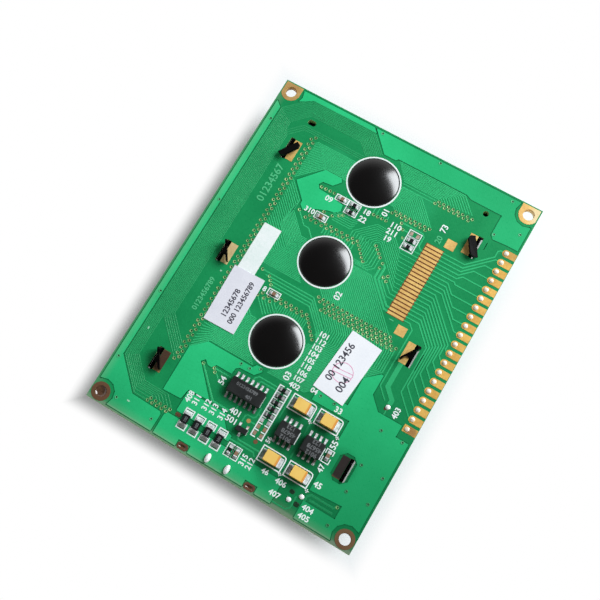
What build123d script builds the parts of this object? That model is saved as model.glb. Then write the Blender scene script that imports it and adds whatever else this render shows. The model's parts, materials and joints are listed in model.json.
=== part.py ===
from build123d import *
import math
import os

# A graphic LCD module that lies on its display face, with the component side of its board up.
# X runs across the board, Y along it and Z up. The origin is on the ground below the centre.

# Circuit board
board_side_border = 9.15
board_end_border = 6.2
board_thickness = 1.6
mount_hole_inset = 2.5
mount_hole_diameter = 2.8
copper_thickness = 0.05
ink_thickness = 0.03
edge_margin = 0.6

# Bezel, stamped from one steel sheet
bezel_side_border = 5.85
bezel_end_border = 4.3
bezel_sheet = 0.5
bezel_edge_radius = 0.4
window_width = 40.0
window_length = 72.0
window_corner = 0.4

# Legs of the bezel, three on each long side
leg_width = 5.4
leg_pitch = 30.6
leg_neck_width = 1.8
leg_neck_rise = 0.5
leg_blade_height = 2.0
leg_blade_corner = 0.7
leg_twist = 33.0
leg_lean = 62.0
leg_swing = 0.9
straight_leg_rise = 0.5
slot_side_clearance = 0.35
slot_end_clearance = 0.25
leg_pad_width = 1.9
leg_pad_overhang = 0.05
leg_pad_gap = 0.05
leg_field_clearance = 0.6

# Display cell and its light
polarizer_thickness = 0.2
polarizer_border = 1.0
glass_thickness = 1.1
glass_clearance = 0.3
contact_ledge = 3.5
strip_width = 2.2
strip_end_inset = 4.0
diffuser_thickness = 0.4
light_frame_height = 4.5
light_frame_wall = 1.6
light_board_thickness = 1.0
light_border = 0.9
light_strip_gap = 0.3
led_length = 3.0
led_width = 1.6
led_height = 0.8
led_columns = 2
led_rows = 6
tongue_width = 9.2
tongue_reach = 0.5
tongue_clearance = 0.3
light_pin_diameter = 0.8
light_pin_spacing = 5.08
light_pin_clearance = 0.05
light_pin_edge = 2.1
light_centre_share = -0.0057
light_solder_width = 1.3
light_solder_length = 2.4
light_solder_height = 0.9

# Plated anchor slots beside the backlight pins
anchor_spacing = 17.8
anchor_edge = 1.35
anchor_length = 2.0
anchor_width = 0.8
anchor_rim = 0.4

# Locating holes: a round one and an oblong one
locating_side_inset = 2.1
locating_end_inset = 1.05
locating_diameter = 1.4
locating_length = 2.1

# Mounting pads
mount_pad_radius = 2.4
mount_ring_radius = 2.3
mount_pad_clearance = 0.8
pad_sides = 24

# Edge fingers with their solder
finger_count = 20
finger_pitch = 2.54
finger_row_share = 0.0927
finger_length = 3.4
finger_width = 1.76
finger_edge = 0.1
bead_edge = 2.55
bead_radius = 0.6
bead_height = 0.4
bead_taper = 35.0

# Connector land and its square end pads
land_row_share = 0.172
land_pad_gap = 1.57
land_pitch = 1.0
land_length = 4.2
land_width = 0.68
square_pad = 2.45
square_pad_offset = 2.65
square_pad_shift = 2.8

# Traces from the land to the fingers
trace_width = 0.32
trace_gap = 0.05
straight_count = 6
middle_count = 4
upper_bend_inset = 0.9
middle_bend_inset = 2.05
lower_bend_inset = 3.2
jog_inset = 0.95
lane_slot_gap = 1.0
lane_count = 8
ground_lane_gap = 0.65
ground_corner = 1.2
ground_drop = 7.0
ground_reach = 2.6
pad_trace_width = 1.15

# Chip domes and the printed rings round them
dome_shares = {
    "upper": (-0.0443, 0.3559),
    "middle": (-0.0457, 0.1032),
    "lower": (-0.0471, -0.1387),
}
dome_radius = 6.15
dome_height = 1.3
dome_bands = 3
ring_width = 0.5
ring_sides = 32

# Printed block and paper labels
block_width = 4.6
block_length = 15.5
block_share = (-0.2614, 0.036)
label_thickness = 0.1
lot_label_size = (8.2, 15.0)
lot_label_share = (-0.2436, -0.0989)
lot_label_turn = 1.2
check_label_size = (8.15, 16.05)
check_label_share = (0.2, -0.1075)
check_label_turn = -5.4

# Small outline packages
package_pitch = 1.27
package_width = 3.9
package_height = 1.5
package_standoff = 0.15
package_draft = 8.0
package_end = 0.5
lead_span = 6.2
lead_width = 0.42
lead_thickness = 0.2
lead_foot = 0.75
lead_shoulder = 0.25
lead_land_side = 0.1
lead_land_heel = 0.15
lead_land_toe = 0.3
driver_pin_count = 14
amplifier_pin_count = 8
package_shares = {
    "driver": (-0.0443, -0.2898),
    "left_amplifier": (0.1389, -0.3242),
    "right_amplifier": (0.2324, -0.3242),
}

# Transistor
transistor_share = (0.0057, -0.3763)
transistor_length = 2.9
transistor_width = 1.3
transistor_height = 0.95
transistor_span = 2.6
transistor_pitch = 1.9
transistor_foot = 0.35
transistor_shoulder = 0.2
transistor_leads_at = ((-transistor_pitch / 2, 90), (transistor_pitch / 2, 90), (0, -90))

# Tantalum capacitors
tantalum_column_shares = (0.1371, 0.2364)
tantalum_row_shares = (-0.2495, -0.3978)
tantalum_length = 3.5
tantalum_width = 2.8
tantalum_height = 1.9
tantalum_draft = 4.0
terminal_thickness = 0.15
terminal_width = 2.3
terminal_height = 1.1
terminal_foot = 0.8
tantalum_land_width = 2.5
tantalum_land_reach = 0.8
outline_width = 0.28
tantalum_print_gap = (0.145, 0.32)
tantalum_outline_radius = 0.8

# Large chip resistors, side by side
large_chip_count = 4
large_chip_row_share = (-0.1071, -0.4242)
large_chip_pitch = 3.0
large_chip = (1.6, 3.2, 0.6)
large_chip_end = 0.5
large_chip_land_reach = 0.55
large_chip_pour_gap = 0.7
large_print_gap = (0.1, 0.22)
large_outline_opening = 1.75

# Ladder of small resistors, the last rows of which are bare
ladder_share = (0.0586, -0.3012)
ladder_pitch = 1.68
ladder_row_count = 8
ladder_filled_count = 5
ladder_print_gap = 0.03
ladder_opening = 0.6

# Small chips: length, width and height, and where they lie
small_chip = (1.6, 0.85, 0.5)
small_chip_end = 0.35
small_land = (0.8, 0.95)
small_land_offset = 0.85
land_clearance = 0.15
flat_resistor_shares = ((-0.0586, 0.2737), (-0.0586, 0.2532), (0.1693, 0.2624), (0.1693, 0.2435))
upright_resistor_shares = ((0.0057, -0.4323),)
flat_capacitor_shares = ((-0.1064, 0.2737), (-0.1386, 0.2043), (-0.1371, -0.036))
upright_capacitor_shares = ((0.0307, -0.4323), (0.2886, -0.322))
bare_chip_shares = ((0.1693, 0.2806),)

# Bare test points and jumper solder
upper_test_share = (0.01, -0.3473)
ladder_test_shift = 0.4
ladder_test_gap = 0.87
test_point_radius = 0.5
jumper_shares = ((0.2814, -0.4398), (0.2493, -0.4613), (0.3764, -0.143))

# Small round outlines are drawn with straight sides
small_round_sides = 12
bead_sides = 10
corner_share = 0.29

# Heights, from the ground up
polarizer_bottom = bezel_sheet
front_glass_bottom = polarizer_bottom + polarizer_thickness
rear_glass_bottom = front_glass_bottom + glass_thickness
rear_polarizer_bottom = rear_glass_bottom + glass_thickness
diffuser_bottom = rear_polarizer_bottom + polarizer_thickness
light_frame_bottom = diffuser_bottom + diffuser_thickness
light_board_bottom = light_frame_bottom + light_frame_height
board_bottom = light_board_bottom + light_board_thickness
board_top = board_bottom + board_thickness
copper_top = board_top + copper_thickness
ink_top = copper_top + ink_thickness

# Places worked out from the sizes above
bezel_width = window_width + 2 * bezel_side_border
bezel_length = window_length + 2 * bezel_end_border
board_width = bezel_width + 2 * board_side_border
board_length = bezel_length + 2 * board_end_border
leg_x = (bezel_width - bezel_sheet) / 2
leg_places = [(side * leg_x, row * leg_pitch) for side in (-1, 1) for row in (1, 0, -1)]
leg_bends = [
    (-leg_twist, leg_lean, 0),
    (leg_twist, 0, leg_swing),
    (leg_twist, 0, leg_swing),
    (leg_twist, leg_lean, 0),
    (-leg_twist, 0, leg_swing),
    None,
]
slot_width = bezel_sheet + 2 * slot_side_clearance
slot_length = leg_width + 2 * slot_end_clearance
mount_x = board_width / 2 - mount_hole_inset
mount_y = board_length / 2 - mount_hole_inset
light_centre_x = light_centre_share * board_width
light_pin_y = light_pin_edge - board_length / 2
light_pin_places = [(light_centre_x + side * light_pin_spacing / 2, light_pin_y) for side in (-1, 1)]
anchor_places = [
    (light_centre_x + side * anchor_spacing / 2, anchor_edge - board_length / 2) for side in (-1, 1)
]
glass_width = bezel_width - 2 * bezel_sheet - 2 * glass_clearance
glass_length = bezel_length - 2 * bezel_sheet - 2 * glass_clearance
rear_glass_width = glass_width - 2 * contact_ledge
strip_x = (glass_width - contact_ledge) / 2
light_width = min(window_width + 2 * light_border, 2 * strip_x - strip_width - 2 * light_strip_gap)
light_length = window_length + 2 * light_border
finger_mid = (finger_count - 1) / 2
finger_ys = [finger_row_share * board_length + (finger_mid - i) * finger_pitch for i in range(finger_count)]
land_ys = [land_row_share * board_length + (finger_mid - i) * land_pitch for i in range(finger_count)]
finger_x = board_width / 2 - finger_edge - finger_length / 2
finger_inner_x = finger_x - finger_length / 2
slot_outer_x = leg_x + slot_width / 2
leg_pad_inner_x = leg_x - slot_width / 2 - leg_pad_gap - leg_pad_width
land_x = leg_pad_inner_x - land_pad_gap - square_pad / 2 - square_pad_shift
tantalum_reach = tantalum_length / 2 + terminal_thickness + tantalum_land_reach
large_chip_reach = large_chip[1] / 2 + large_chip_land_reach
small_land_end = small_land_offset + small_land[0] / 2
package_pins = {
    "driver": driver_pin_count,
    "left_amplifier": amplifier_pin_count,
    "right_amplifier": amplifier_pin_count,
}

os.makedirs("parts", exist_ok=True)


def spot(share):
    """The place on the board whose x and y are shares of its width and length from the centre."""
    return share[0] * board_width, share[1] * board_length


def save(node, solids):
    """Writes one node as a STEP file of one or more separate solids."""
    export_step(Compound(children=list(solids)), f"parts/{node}.step")


def block(size, centre, bottom):
    """A plain block of (x, y, z) size that stands on the height bottom."""
    standing = (Align.CENTER, Align.CENTER, Align.MIN)
    return Pos(centre[0], centre[1], bottom) * Box(*size, align=standing)


def plate(sketch, bottom, thickness):
    """A flat sketch made into a plate that lies on the height bottom."""
    return extrude(Pos(0, 0, bottom) * sketch, thickness)


def outline(points):
    """A flat face with straight sides through the points."""
    return make_face(Polyline(*points, close=True))


def ribbon(points, width):
    """A flat strip of even width along a line of points."""
    return trace(Polyline(*points), line_width=width)


def small_round(radius):
    """A small round outline with straight sides that touch the circle."""
    return RegularPolygon(radius, small_round_sides, major_radius=False)


def small_slot(length, width):
    """An oblong outline whose ends are drawn with three straight sides each."""
    return chamfer(Rectangle(length, width).vertices(), corner_share * min(length, width))


def ring_sketch(width, length, line):
    """A printed rectangle of the given outer size, drawn with an even line."""
    return Rectangle(width, length) - Rectangle(width - 2 * line, length - 2 * line)


def leg_slots(clearance):
    """The six slots of the legs, widened all round by a clearance."""
    size = (slot_width + 2 * clearance, slot_length + 2 * clearance)
    return [Pos(x, y) * Rectangle(*size) for x, y in leg_places]


def circuit_board():
    """The bare board, with every hole and slot that goes through it."""
    face = Rectangle(board_width, board_length)
    for x in (-mount_x, mount_x):
        for y in (-mount_y, mount_y):
            face -= Pos(x, y) * Circle(mount_hole_diameter / 2)
    for slot in leg_slots(0):
        face -= slot
    locating_x = bezel_width / 2 - locating_side_inset
    locating_y = bezel_length / 2 - locating_end_inset
    face -= Pos(locating_x, locating_y) * small_round(locating_diameter / 2)
    face -= Pos(-locating_x, locating_y) * small_slot(locating_length, locating_diameter)
    for place in light_pin_places:
        face -= Pos(*place) * small_round(light_pin_diameter / 2 + light_pin_clearance)
    for place in anchor_places:
        face -= Pos(*place) * small_slot(anchor_length, anchor_width)
    return plate(face, board_bottom, board_thickness)


def leg_blade():
    """The flat head of a leg with its upper corners cut, standing on its lower edge."""
    half, cut = leg_width / 2, leg_blade_corner
    low = [(-half, 0), (half, 0)]
    top = [(half, leg_blade_height - cut), (half - cut, leg_blade_height)]
    top += [(cut - half, leg_blade_height), (-half, leg_blade_height - cut)]
    face = make_face(Plane.YZ * Polyline(*low, *top, close=True))
    return extrude(face, bezel_sheet / 2, both=True)


def bezel_leg(x, y, bend):
    """A leg through its slot: straight, or with a narrow neck twisted and swung over the pad."""
    shank = block((bezel_sheet, leg_width, board_thickness), (x, y), board_bottom)
    if bend is None:
        return shank + block((bezel_sheet, leg_width, straight_leg_rise), (x, y), board_top)
    twist, lean, swing = bend
    inward = -math.copysign(1, x)
    section = Rectangle(bezel_sheet, leg_neck_width)
    head = Pos(x + inward * swing, y, board_top + leg_neck_rise) * Rot(0, 0, twist)
    neck = loft([Pos(x, y, board_top) * section, head * section])
    return shank + neck + head * Rot(0, inward * lean, 0) * leg_blade()


def bezel():
    """The black tray round the display: face with its window, four walls and six legs."""
    tray = plate(Rectangle(bezel_width, bezel_length), 0, board_bottom)
    tray = fillet(tray.faces().sort_by(Axis.Z)[0].edges(), bezel_edge_radius)
    inner = Rectangle(bezel_width - 2 * bezel_sheet, bezel_length - 2 * bezel_sheet)
    tray -= plate(inner, bezel_sheet, board_bottom)
    window = chamfer(Rectangle(window_width, window_length).vertices(), window_corner)
    tray -= plate(window, 0, bezel_sheet)
    notch_height = light_board_thickness + tongue_clearance
    notch = (tongue_width + 2 * tongue_clearance, 2 * bezel_sheet, notch_height)
    tray -= block(notch, (light_centre_x, -(bezel_length - bezel_sheet) / 2), board_bottom - notch_height)
    for (x, y), bend in zip(leg_places, leg_bends):
        tray += bezel_leg(x, y, bend)
    return tray


def display_cell():
    """The liquid crystal cell: two glasses with a polarizer on each outer side."""
    polarizer = (window_width + 2 * polarizer_border, window_length + 2 * polarizer_border)
    save("front_polarizer", [block((*polarizer, polarizer_thickness), (0, 0), polarizer_bottom)])
    save("front_glass", [block((glass_width, glass_length, glass_thickness), (0, 0), front_glass_bottom)])
    rear = (rear_glass_width, glass_length, glass_thickness)
    save("rear_glass", [block(rear, (0, 0), rear_glass_bottom)])
    save("rear_polarizer", [block((*polarizer, polarizer_thickness), (0, 0), rear_polarizer_bottom)])


def contact_strips():
    """Two elastomer strips that press the ledges of the front glass against the board."""
    height = board_bottom - rear_glass_bottom
    size = (strip_width, glass_length - 2 * strip_end_inset, height)
    save("contact_strips", [block(size, (side * strip_x, 0), rear_glass_bottom) for side in (-1, 1)])


def backlight():
    """The diffuser, the white frame, the board with its tongue, the LEDs and the two pins."""
    save("diffuser_sheet", [block((light_width, light_length, diffuser_thickness), (0, 0), diffuser_bottom)])
    frame = ring_sketch(light_width, light_length, light_frame_wall)
    save("backlight_frame", [plate(frame, light_frame_bottom, light_frame_height)])
    tongue_end = tongue_reach - board_length / 2
    tongue_start = -light_length / 2
    tongue_size = (tongue_width, tongue_start - tongue_end)
    tongue = Pos(light_centre_x, (tongue_start + tongue_end) / 2) * Rectangle(*tongue_size)
    sheet = Rectangle(light_width, light_length) + tongue
    for place in light_pin_places:
        sheet -= Pos(*place) * small_round(light_pin_diameter / 2 + light_pin_clearance)
    save("backlight_board", [plate(sheet, light_board_bottom, light_board_thickness)])
    column_pitch = light_width / led_columns
    row_pitch = light_length / led_rows
    chips = []
    for column in range(led_columns):
        for row in range(led_rows):
            x = (column - (led_columns - 1) / 2) * column_pitch
            y = (row - (led_rows - 1) / 2) * row_pitch
            chips.append(block((led_length, led_width, led_height), (x, y), light_board_bottom - led_height))
    save("backlight_leds", chips)
    side = light_pin_diameter / math.sqrt(2)
    pin = (side, side, copper_top - light_board_bottom)
    save("backlight_pins", [block(pin, place, light_board_bottom) for place in light_pin_places])


def solder_bead(x, y, bottom, height):
    """A low heap of solder with sloping sides."""
    return extrude(Pos(x, y, bottom) * RegularPolygon(bead_radius, bead_sides), height, taper=bead_taper)


def solder_joints():
    """The beads on the header holes, on the jumpers and over the backlight pins."""
    bead_x = board_width / 2 - bead_edge
    save("header_solder", [solder_bead(bead_x, y, copper_top, bead_height) for y in finger_ys])
    save("jumper_solder", [solder_bead(*spot(share), board_top, bead_height) for share in jumper_shares])
    heap = small_slot(light_solder_width, light_solder_length)
    heaps = [
        extrude(Pos(x, y, copper_top) * heap, light_solder_height, taper=bead_taper / 2)
        for x, y in light_pin_places
    ]
    save("backlight_solder", heaps)


def mounting_pads():
    """Pads round the mounting holes: square-cornered at the far end, plain rings at the near end."""
    hole = RegularPolygon(mount_hole_diameter / 2, pad_sides, major_radius=False)
    corner = mount_hole_inset - edge_margin / 2
    pads = []
    for side in (-1, 1):
        square = Pos(side * corner / 2, corner / 2) * Rectangle(corner, corner)
        bridge_up = Pos(0, corner / 2) * Rectangle(2 * mount_pad_radius, corner)
        reach = side * (corner - mount_pad_radius) / 2
        bridge_side = Pos(reach, 0) * Rectangle(corner + mount_pad_radius, corner / 2)
        limit = Pos(side * (corner - mount_pad_radius) / 2, (corner - mount_pad_radius) / 2) * Rectangle(
            corner + mount_pad_radius, corner + mount_pad_radius
        )
        pad = (RegularPolygon(mount_pad_radius, pad_sides) + square + bridge_up + bridge_side) & limit
        pads.append(plate(Pos(side * mount_x, mount_y) * (pad - hole), board_top, copper_thickness))
        ring = RegularPolygon(mount_ring_radius, pad_sides) - hole
        pads.append(plate(Pos(side * mount_x, -mount_y) * ring, board_top, copper_thickness))
    save("mounting_pads", pads)


def leg_pads():
    """Bare pads on the inner side of each leg slot."""
    size = (leg_pad_width, leg_width + 2 * leg_pad_overhang, copper_thickness)
    inward = slot_width / 2 + leg_pad_gap + leg_pad_width / 2
    pads = [block(size, (x - math.copysign(inward, x), y), board_top) for x, y in leg_places]
    save("leg_pads", pads)


def edge_fingers():
    """Gold fingers whose inner corners are cut, and the last one with a square end."""
    square = Rectangle(finger_length, finger_width)
    inner_corners = square.vertices().sort_by(Axis.X)[:2]
    cut = chamfer(inner_corners, corner_share * finger_width)
    shapes = [cut] * (finger_count - 1) + [square]
    save(
        "edge_fingers",
        [plate(Pos(finger_x, y) * s, board_top, copper_thickness) for s, y in zip(shapes, finger_ys)],
    )


def connector_land():
    """The stripes that a flat connector would be soldered to, and the squares at its two ends."""
    size = (land_length, land_width, copper_thickness)
    save("connector_land", [block(size, (land_x, y), board_top) for y in land_ys])
    square = (square_pad, square_pad, copper_thickness)
    shift_x = land_x + square_pad_shift
    ends = ((shift_x, land_ys[0] + square_pad_offset), (shift_x, land_ys[-1] - square_pad_offset))
    save("land_end_pads", [block(square, place, board_top) for place in ends])


def finger_route(i):
    """The line of a trace from land stripe i to edge finger i, with bends of 45 degrees."""
    start = land_x + land_length / 2 + trace_gap
    end = finger_inner_x - trace_gap
    y_land, y_finger = land_ys[i], finger_ys[i]
    drop = y_land - y_finger
    if i == 0:
        bend = slot_outer_x - upper_bend_inset
        lane = end - jog_inset
        step = jog_inset / 2
        jog = [(lane, y_land + lane - bend), (lane, y_finger - step), (lane + step, y_finger)]
        return [(start, y_land), (bend, y_land), *jog, (end, y_finger)]
    if i < straight_count:
        bend = slot_outer_x - upper_bend_inset
        return [(start, y_land), (bend, y_land), (bend + abs(drop), y_finger), (end, y_finger)]
    if i < straight_count + middle_count:
        bend = slot_outer_x - middle_bend_inset
        return [(start, y_land), (bend, y_land), (bend + drop, y_finger), (end, y_finger)]
    bend = slot_outer_x - lower_bend_inset
    if i < finger_count - 1 - lane_count:
        return [(start, y_land), (bend, y_land), (bend + drop, y_finger), (end, y_finger)]
    first_lane = slot_outer_x + lane_slot_gap
    lane_pitch = (end - trace_width - first_lane) / (lane_count - 1)
    lane = first_lane + lane_pitch * (finger_count - 2 - i)
    bends = [(bend, y_land), (lane, y_land - (lane - bend)), (lane, y_finger + end - lane)]
    return [(start, y_land), *bends, (end, y_finger)]


def ground_route():
    """The line of the last stripe, which runs down beside the leg pads into the pour."""
    start = land_x + land_length / 2 + trace_gap
    y = land_ys[-1]
    lane = leg_pad_inner_x - ground_lane_gap
    lane_end = -leg_width / 2 - leg_pad_overhang - ground_drop
    turn = [(lane - ground_corner, y), (lane, y - ground_corner), (lane, lane_end)]
    return [(start, y), *turn, (lane + ground_reach, lane_end - ground_reach)]


def pad_route():
    """The line of the broad trace from the middle right leg pad to the jumper near the fingers."""
    x = leg_pad_inner_x + leg_pad_width / 2
    pad_end = -leg_width / 2 - leg_pad_overhang
    end_x, joint_y = spot(jumper_shares[-1])
    end_y = joint_y + bead_radius + trace_gap
    knee = end_y + (end_x - x) + pad_trace_width
    return [(x, pad_end - trace_gap), (x, knee), (end_x, knee - (end_x - x)), (end_x, end_y)]


def finger_traces():
    """The mask-covered traces between the land and the fingers."""
    lines = [ribbon(finger_route(i), trace_width) for i in range(finger_count - 1)]
    lines.append(ribbon(ground_route(), trace_width))
    lines.append(ribbon(pad_route(), pad_trace_width))
    save("finger_traces", [plate(line, board_top, copper_thickness) for line in lines])


def pour_outlines():
    """The bright fields of copper under the mask, as shares of the board from its centre."""
    right = 0.5 - edge_margin / board_width
    top = 0.5 - edge_margin / board_length
    far = [(-0.1343, top), (right, top), (right, 0.372), (0.45, 0.372), (0.4014, 0.3688)]
    far += [(0.3886, 0.3785), (0.3886, 0.4376), (0.2714, 0.4376), (0.2529, 0.4441), (-0.01, 0.4441)]
    far += [(-0.0186, 0.4376), (-0.0629, 0.4376)]
    rim = [(-0.4257, top), (-0.1414, top), (-0.1314, 0.486), (-0.1229, 0.4806), (-0.3743, 0.4806)]
    rim += [(-0.4257, 0.457)]
    side = [(-right, 0.4355), (-0.4686, 0.4215), (-0.4686, -0.3624), (-0.3686, -0.4376)]
    side += [(-0.2571, -0.4398), (-0.2514, -0.4452), (-0.2514, -top), (-right, -top)]
    middle = [(-0.28, 0.2624), (-0.21, 0.3237), (-0.1457, 0.3237), (-0.1386, 0.314), (-0.16, 0.2946)]
    middle += [(-0.1957, 0.2914), (-0.2043, 0.2806), (-0.1943, 0.2699), (-0.1371, 0.2677)]
    middle += [(-0.0943, 0.2602), (-0.09, 0.243), (-0.1057, 0.2323), (-0.1314, 0.228)]
    middle += [(-0.1686, 0.2161), (-0.2057, 0.1978), (-0.2229, 0.2086), (-0.2243, 0.2194)]
    lower = [(-0.29, -0.2613), (-0.2429, -0.2258), (-0.0714, -0.2258), (-0.0614, -0.2161)]
    lower += [(-0.0429, -0.2151), (-0.0343, -0.2247), (-0.0529, -0.2419), (-0.1057, -0.2441)]
    lower += [(-0.1171, -0.2505), (-0.1186, -0.2677), (-0.1771, -0.2677), (-0.1886, -0.2796)]
    lower += [(-0.2029, -0.2785), (-0.2186, -0.2688), (-0.23, -0.2785), (-0.1357, -0.3538)]
    lower += [(-0.2143, -0.357), (-0.2214, -0.386), (-0.2886, -0.3882)]
    row_end = large_chip_row_share[1] + large_chip_pour_gap / board_length
    row = [(-0.2129, -0.3602), (-0.0614, -0.3602), (-0.06, -0.3753), (-0.0357, -0.3957)]
    row += [(-0.0114, -0.4011), (-0.0129, row_end), (-0.2129, row_end)]
    bottom_end = large_chip_row_share[1] - large_chip_pour_gap / board_length
    bottom = [(-0.2414, bottom_end - 0.0086), (-0.2328, bottom_end), (0.2043, bottom_end)]
    bottom += [(0.2043, -top), (-0.2414, -top)]
    near = [(0.1514, -0.2215), (0.1514, -0.1892), (0.2614, -0.1892), (0.2614, -0.1097)]
    near += [(0.3057, -0.0796), (0.3143, -0.0796), (0.3143, -0.1344), (0.3557, -0.1656)]
    near += [(0.4443, -0.1656), (0.4443, -0.1978), (right, -0.1978), (right, -top), (0.2914, -top)]
    near += [(0.2914, -0.4452), (0.4057, -0.4452), (0.4057, -0.4097), (0.2914, -0.4161)]
    near += [(0.2914, -0.2215)]
    return [far, rim, side, middle, lower, row, bottom, near]


def copper_pours():
    """The pours, kept clear of the mounting pads, the leg slots and their pads, and every hole."""
    keep_out = []
    clear_radius = mount_pad_radius + mount_pad_clearance
    for x in (-mount_x, mount_x):
        for y in (-mount_y, mount_y):
            keep_out.append(Pos(x, y) * small_round(clear_radius))
            corner = (x + math.copysign(clear_radius / 2, x), y + math.copysign(clear_radius / 2, y))
            keep_out.append(Pos(*corner) * Rectangle(clear_radius, clear_radius))
    pad_reach = leg_pad_gap + leg_pad_width
    field = (slot_width + pad_reach + 2 * leg_field_clearance, slot_length + 2 * leg_field_clearance)
    for x, y in leg_places:
        middle_x = x - math.copysign(pad_reach / 2, x)
        keep_out.append(Pos(middle_x, y) * small_slot(*field))
    rim_field = (anchor_length + 3 * anchor_rim, anchor_width + 3 * anchor_rim)
    for place in anchor_places:
        keep_out.append(Pos(*place) * Rectangle(*rim_field))
    for place in light_pin_places:
        keep_out.append(Pos(*place) * small_round(light_pin_diameter))
    finger_field = (finger_length + edge_margin, finger_width + edge_margin)
    for y in (finger_ys[0], finger_ys[-1]):
        keep_out.append(Pos(finger_x, y) * Rectangle(*finger_field))
    keep_out += land_outlines(land_clearance)
    solids = []
    for shares in pour_outlines():
        field_face = outline([spot(share) for share in shares])
        for shape in keep_out:
            field_face -= shape
        solids += plate(field_face, board_top, copper_thickness).solids()
    save("copper_pours", solids)
    return solids


def anchor_rims():
    """Plated rims round the two anchor slots."""
    outer = small_slot(anchor_length + 2 * anchor_rim, anchor_width + 2 * anchor_rim)
    rim = outer - small_slot(anchor_length, anchor_width)
    save("anchor_rims", [plate(Pos(*place) * rim, board_top, copper_thickness) for place in anchor_places])


def dome_profile():
    """Half of a dome's section: the points of a shallow arc, joined by a few straight lines."""
    ball_radius = (dome_radius**2 + dome_height**2) / (2 * dome_height)
    half_angle = math.asin(dome_radius / ball_radius)
    points = [(0, 0), (dome_radius, 0)]
    for band in range(dome_bands - 1, 0, -1):
        angle = half_angle * band / dome_bands
        drop = ball_radius * (1 - math.cos(angle))
        points.append((ball_radius * math.sin(angle), dome_height - drop))
    return [*points, (0, dome_height)]


def chip_domes():
    """A low glossy cap over each bare chip, with a printed ring that it was poured up to."""
    profile = make_face(Plane.XZ * Polyline(*dome_profile(), close=True))
    cap = revolve(profile, Axis.Z)
    outer = RegularPolygon(dome_radius + ring_width, ring_sides)
    ring = outer - RegularPolygon(dome_radius, ring_sides, major_radius=False)
    rings = []
    for name, share in dome_shares.items():
        x, y = spot(share)
        save(f"{name}_chip_dome", [Pos(x, y, board_top) * cap])
        rings.append(plate(Pos(x, y) * ring, board_top, copper_thickness))
    save("dome_rings", rings)


def gull_lead(inner, outer, top, foot, shoulder, width):
    """One lead in the XZ plane, from the package side at x inner down to a foot that ends at x outer."""
    knee = inner + shoulder
    ankle = outer - foot
    points = [
        (inner, top),
        (knee, top),
        (ankle + lead_thickness / 2, lead_thickness),
        (outer, lead_thickness),
        (outer, 0),
        (ankle, 0),
        (knee - lead_thickness / 2, top - lead_thickness),
        (inner, top - lead_thickness),
    ]
    profile = make_face(Plane.XZ * Polyline(*points, close=True))
    return extrude(profile, width / 2, both=True)


def moulded_body(length, width, height, draft):
    """A moulded package body whose sides lean in above and below its parting line."""
    half = height / 2
    upper = extrude(Rectangle(length, width), half, taper=draft)
    lower = extrude(Rectangle(length, width), -half, taper=draft)
    return Pos(0, 0, half) * (upper + lower)


def package_lead_places(pins, x, y):
    """Where the leads of a small outline package start, each as x, y and turn."""
    row = pins // 2
    shifts = [(i - (row - 1) / 2) * package_pitch for i in range(row)]
    return [(x + shift, y, turn) for turn in (90, -90) for shift in shifts]


def small_outline_package(name, pins, x, y):
    """A package with its long side along X and a row of leads on each long side."""
    row = pins // 2
    length = (row - 1) * package_pitch + 2 * package_end + lead_width / 2
    body = moulded_body(length, package_width, package_height, package_draft)
    save(f"{name}_body", [Pos(x, y, copper_top + package_standoff) * body])
    top = package_standoff + package_height / 2 + lead_thickness / 2
    lead = gull_lead(package_width / 2, lead_span / 2, top, lead_foot, lead_shoulder, lead_width)
    places = package_lead_places(pins, x, y)
    save(f"{name}_leads", [Pos(px, py, copper_top) * Rot(0, 0, turn) * lead for px, py, turn in places])


def transistor():
    """A small transistor with two leads on one side and one on the other."""
    x, y = spot(transistor_share)
    body = moulded_body(transistor_length, transistor_width, transistor_height, package_draft)
    save("transistor_body", [Pos(x, y, copper_top + lead_thickness / 2) * body])
    top = transistor_height / 2 + lead_thickness
    sizes = (top, transistor_foot, transistor_shoulder, lead_width)
    lead = gull_lead(transistor_width / 2, transistor_span / 2, *sizes)
    leads = [Pos(x + shift, y, copper_top) * Rot(0, 0, side) * lead for shift, side in transistor_leads_at]
    save("transistor_leads", leads)


def tantalum_places():
    """The centres of the four tantalum capacitors."""
    return [spot((x, y)) for x in tantalum_column_shares for y in tantalum_row_shares]


def solder_wedge(reach, height, width):
    """Solder that slopes from a terminal at x = 0 down to the end of its land at x = reach."""
    profile = make_face(Plane.XZ * Polyline((0, 0), (reach, 0), (0, height), close=True))
    return extrude(profile, width / 2, both=True)


def tantalum_capacitors():
    """Moulded bodies with folded terminals at their ends and solder on their lands."""
    body_lift = copper_top + terminal_thickness
    body_height = tantalum_height - terminal_thickness
    body = moulded_body(tantalum_length, tantalum_width, body_height, tantalum_draft)
    save("tantalum_bodies", [Pos(x, y, body_lift) * body for x, y in tantalum_places()])
    half = tantalum_length / 2
    points = [
        (half - terminal_foot, 0),
        (half + terminal_thickness, 0),
        (half + terminal_thickness, terminal_height),
        (half, terminal_height),
        (half, terminal_thickness),
        (half - terminal_foot, terminal_thickness),
    ]
    profile = make_face(Plane.XZ * Polyline(*points, close=True))
    terminal = extrude(profile, terminal_width / 2, both=True)
    wedge = Pos(half + terminal_thickness, 0) * solder_wedge(
        tantalum_land_reach, terminal_height - terminal_thickness, terminal_width
    )
    terminals = []
    wedges = []
    for x, y in tantalum_places():
        for turn in (0, 180):
            seat = Pos(x, y, copper_top) * Rot(0, 0, turn)
            terminals.append(seat * terminal)
            wedges.append(seat * wedge)
    save("tantalum_terminals", terminals)
    save("tantalum_solder", wedges)


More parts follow.
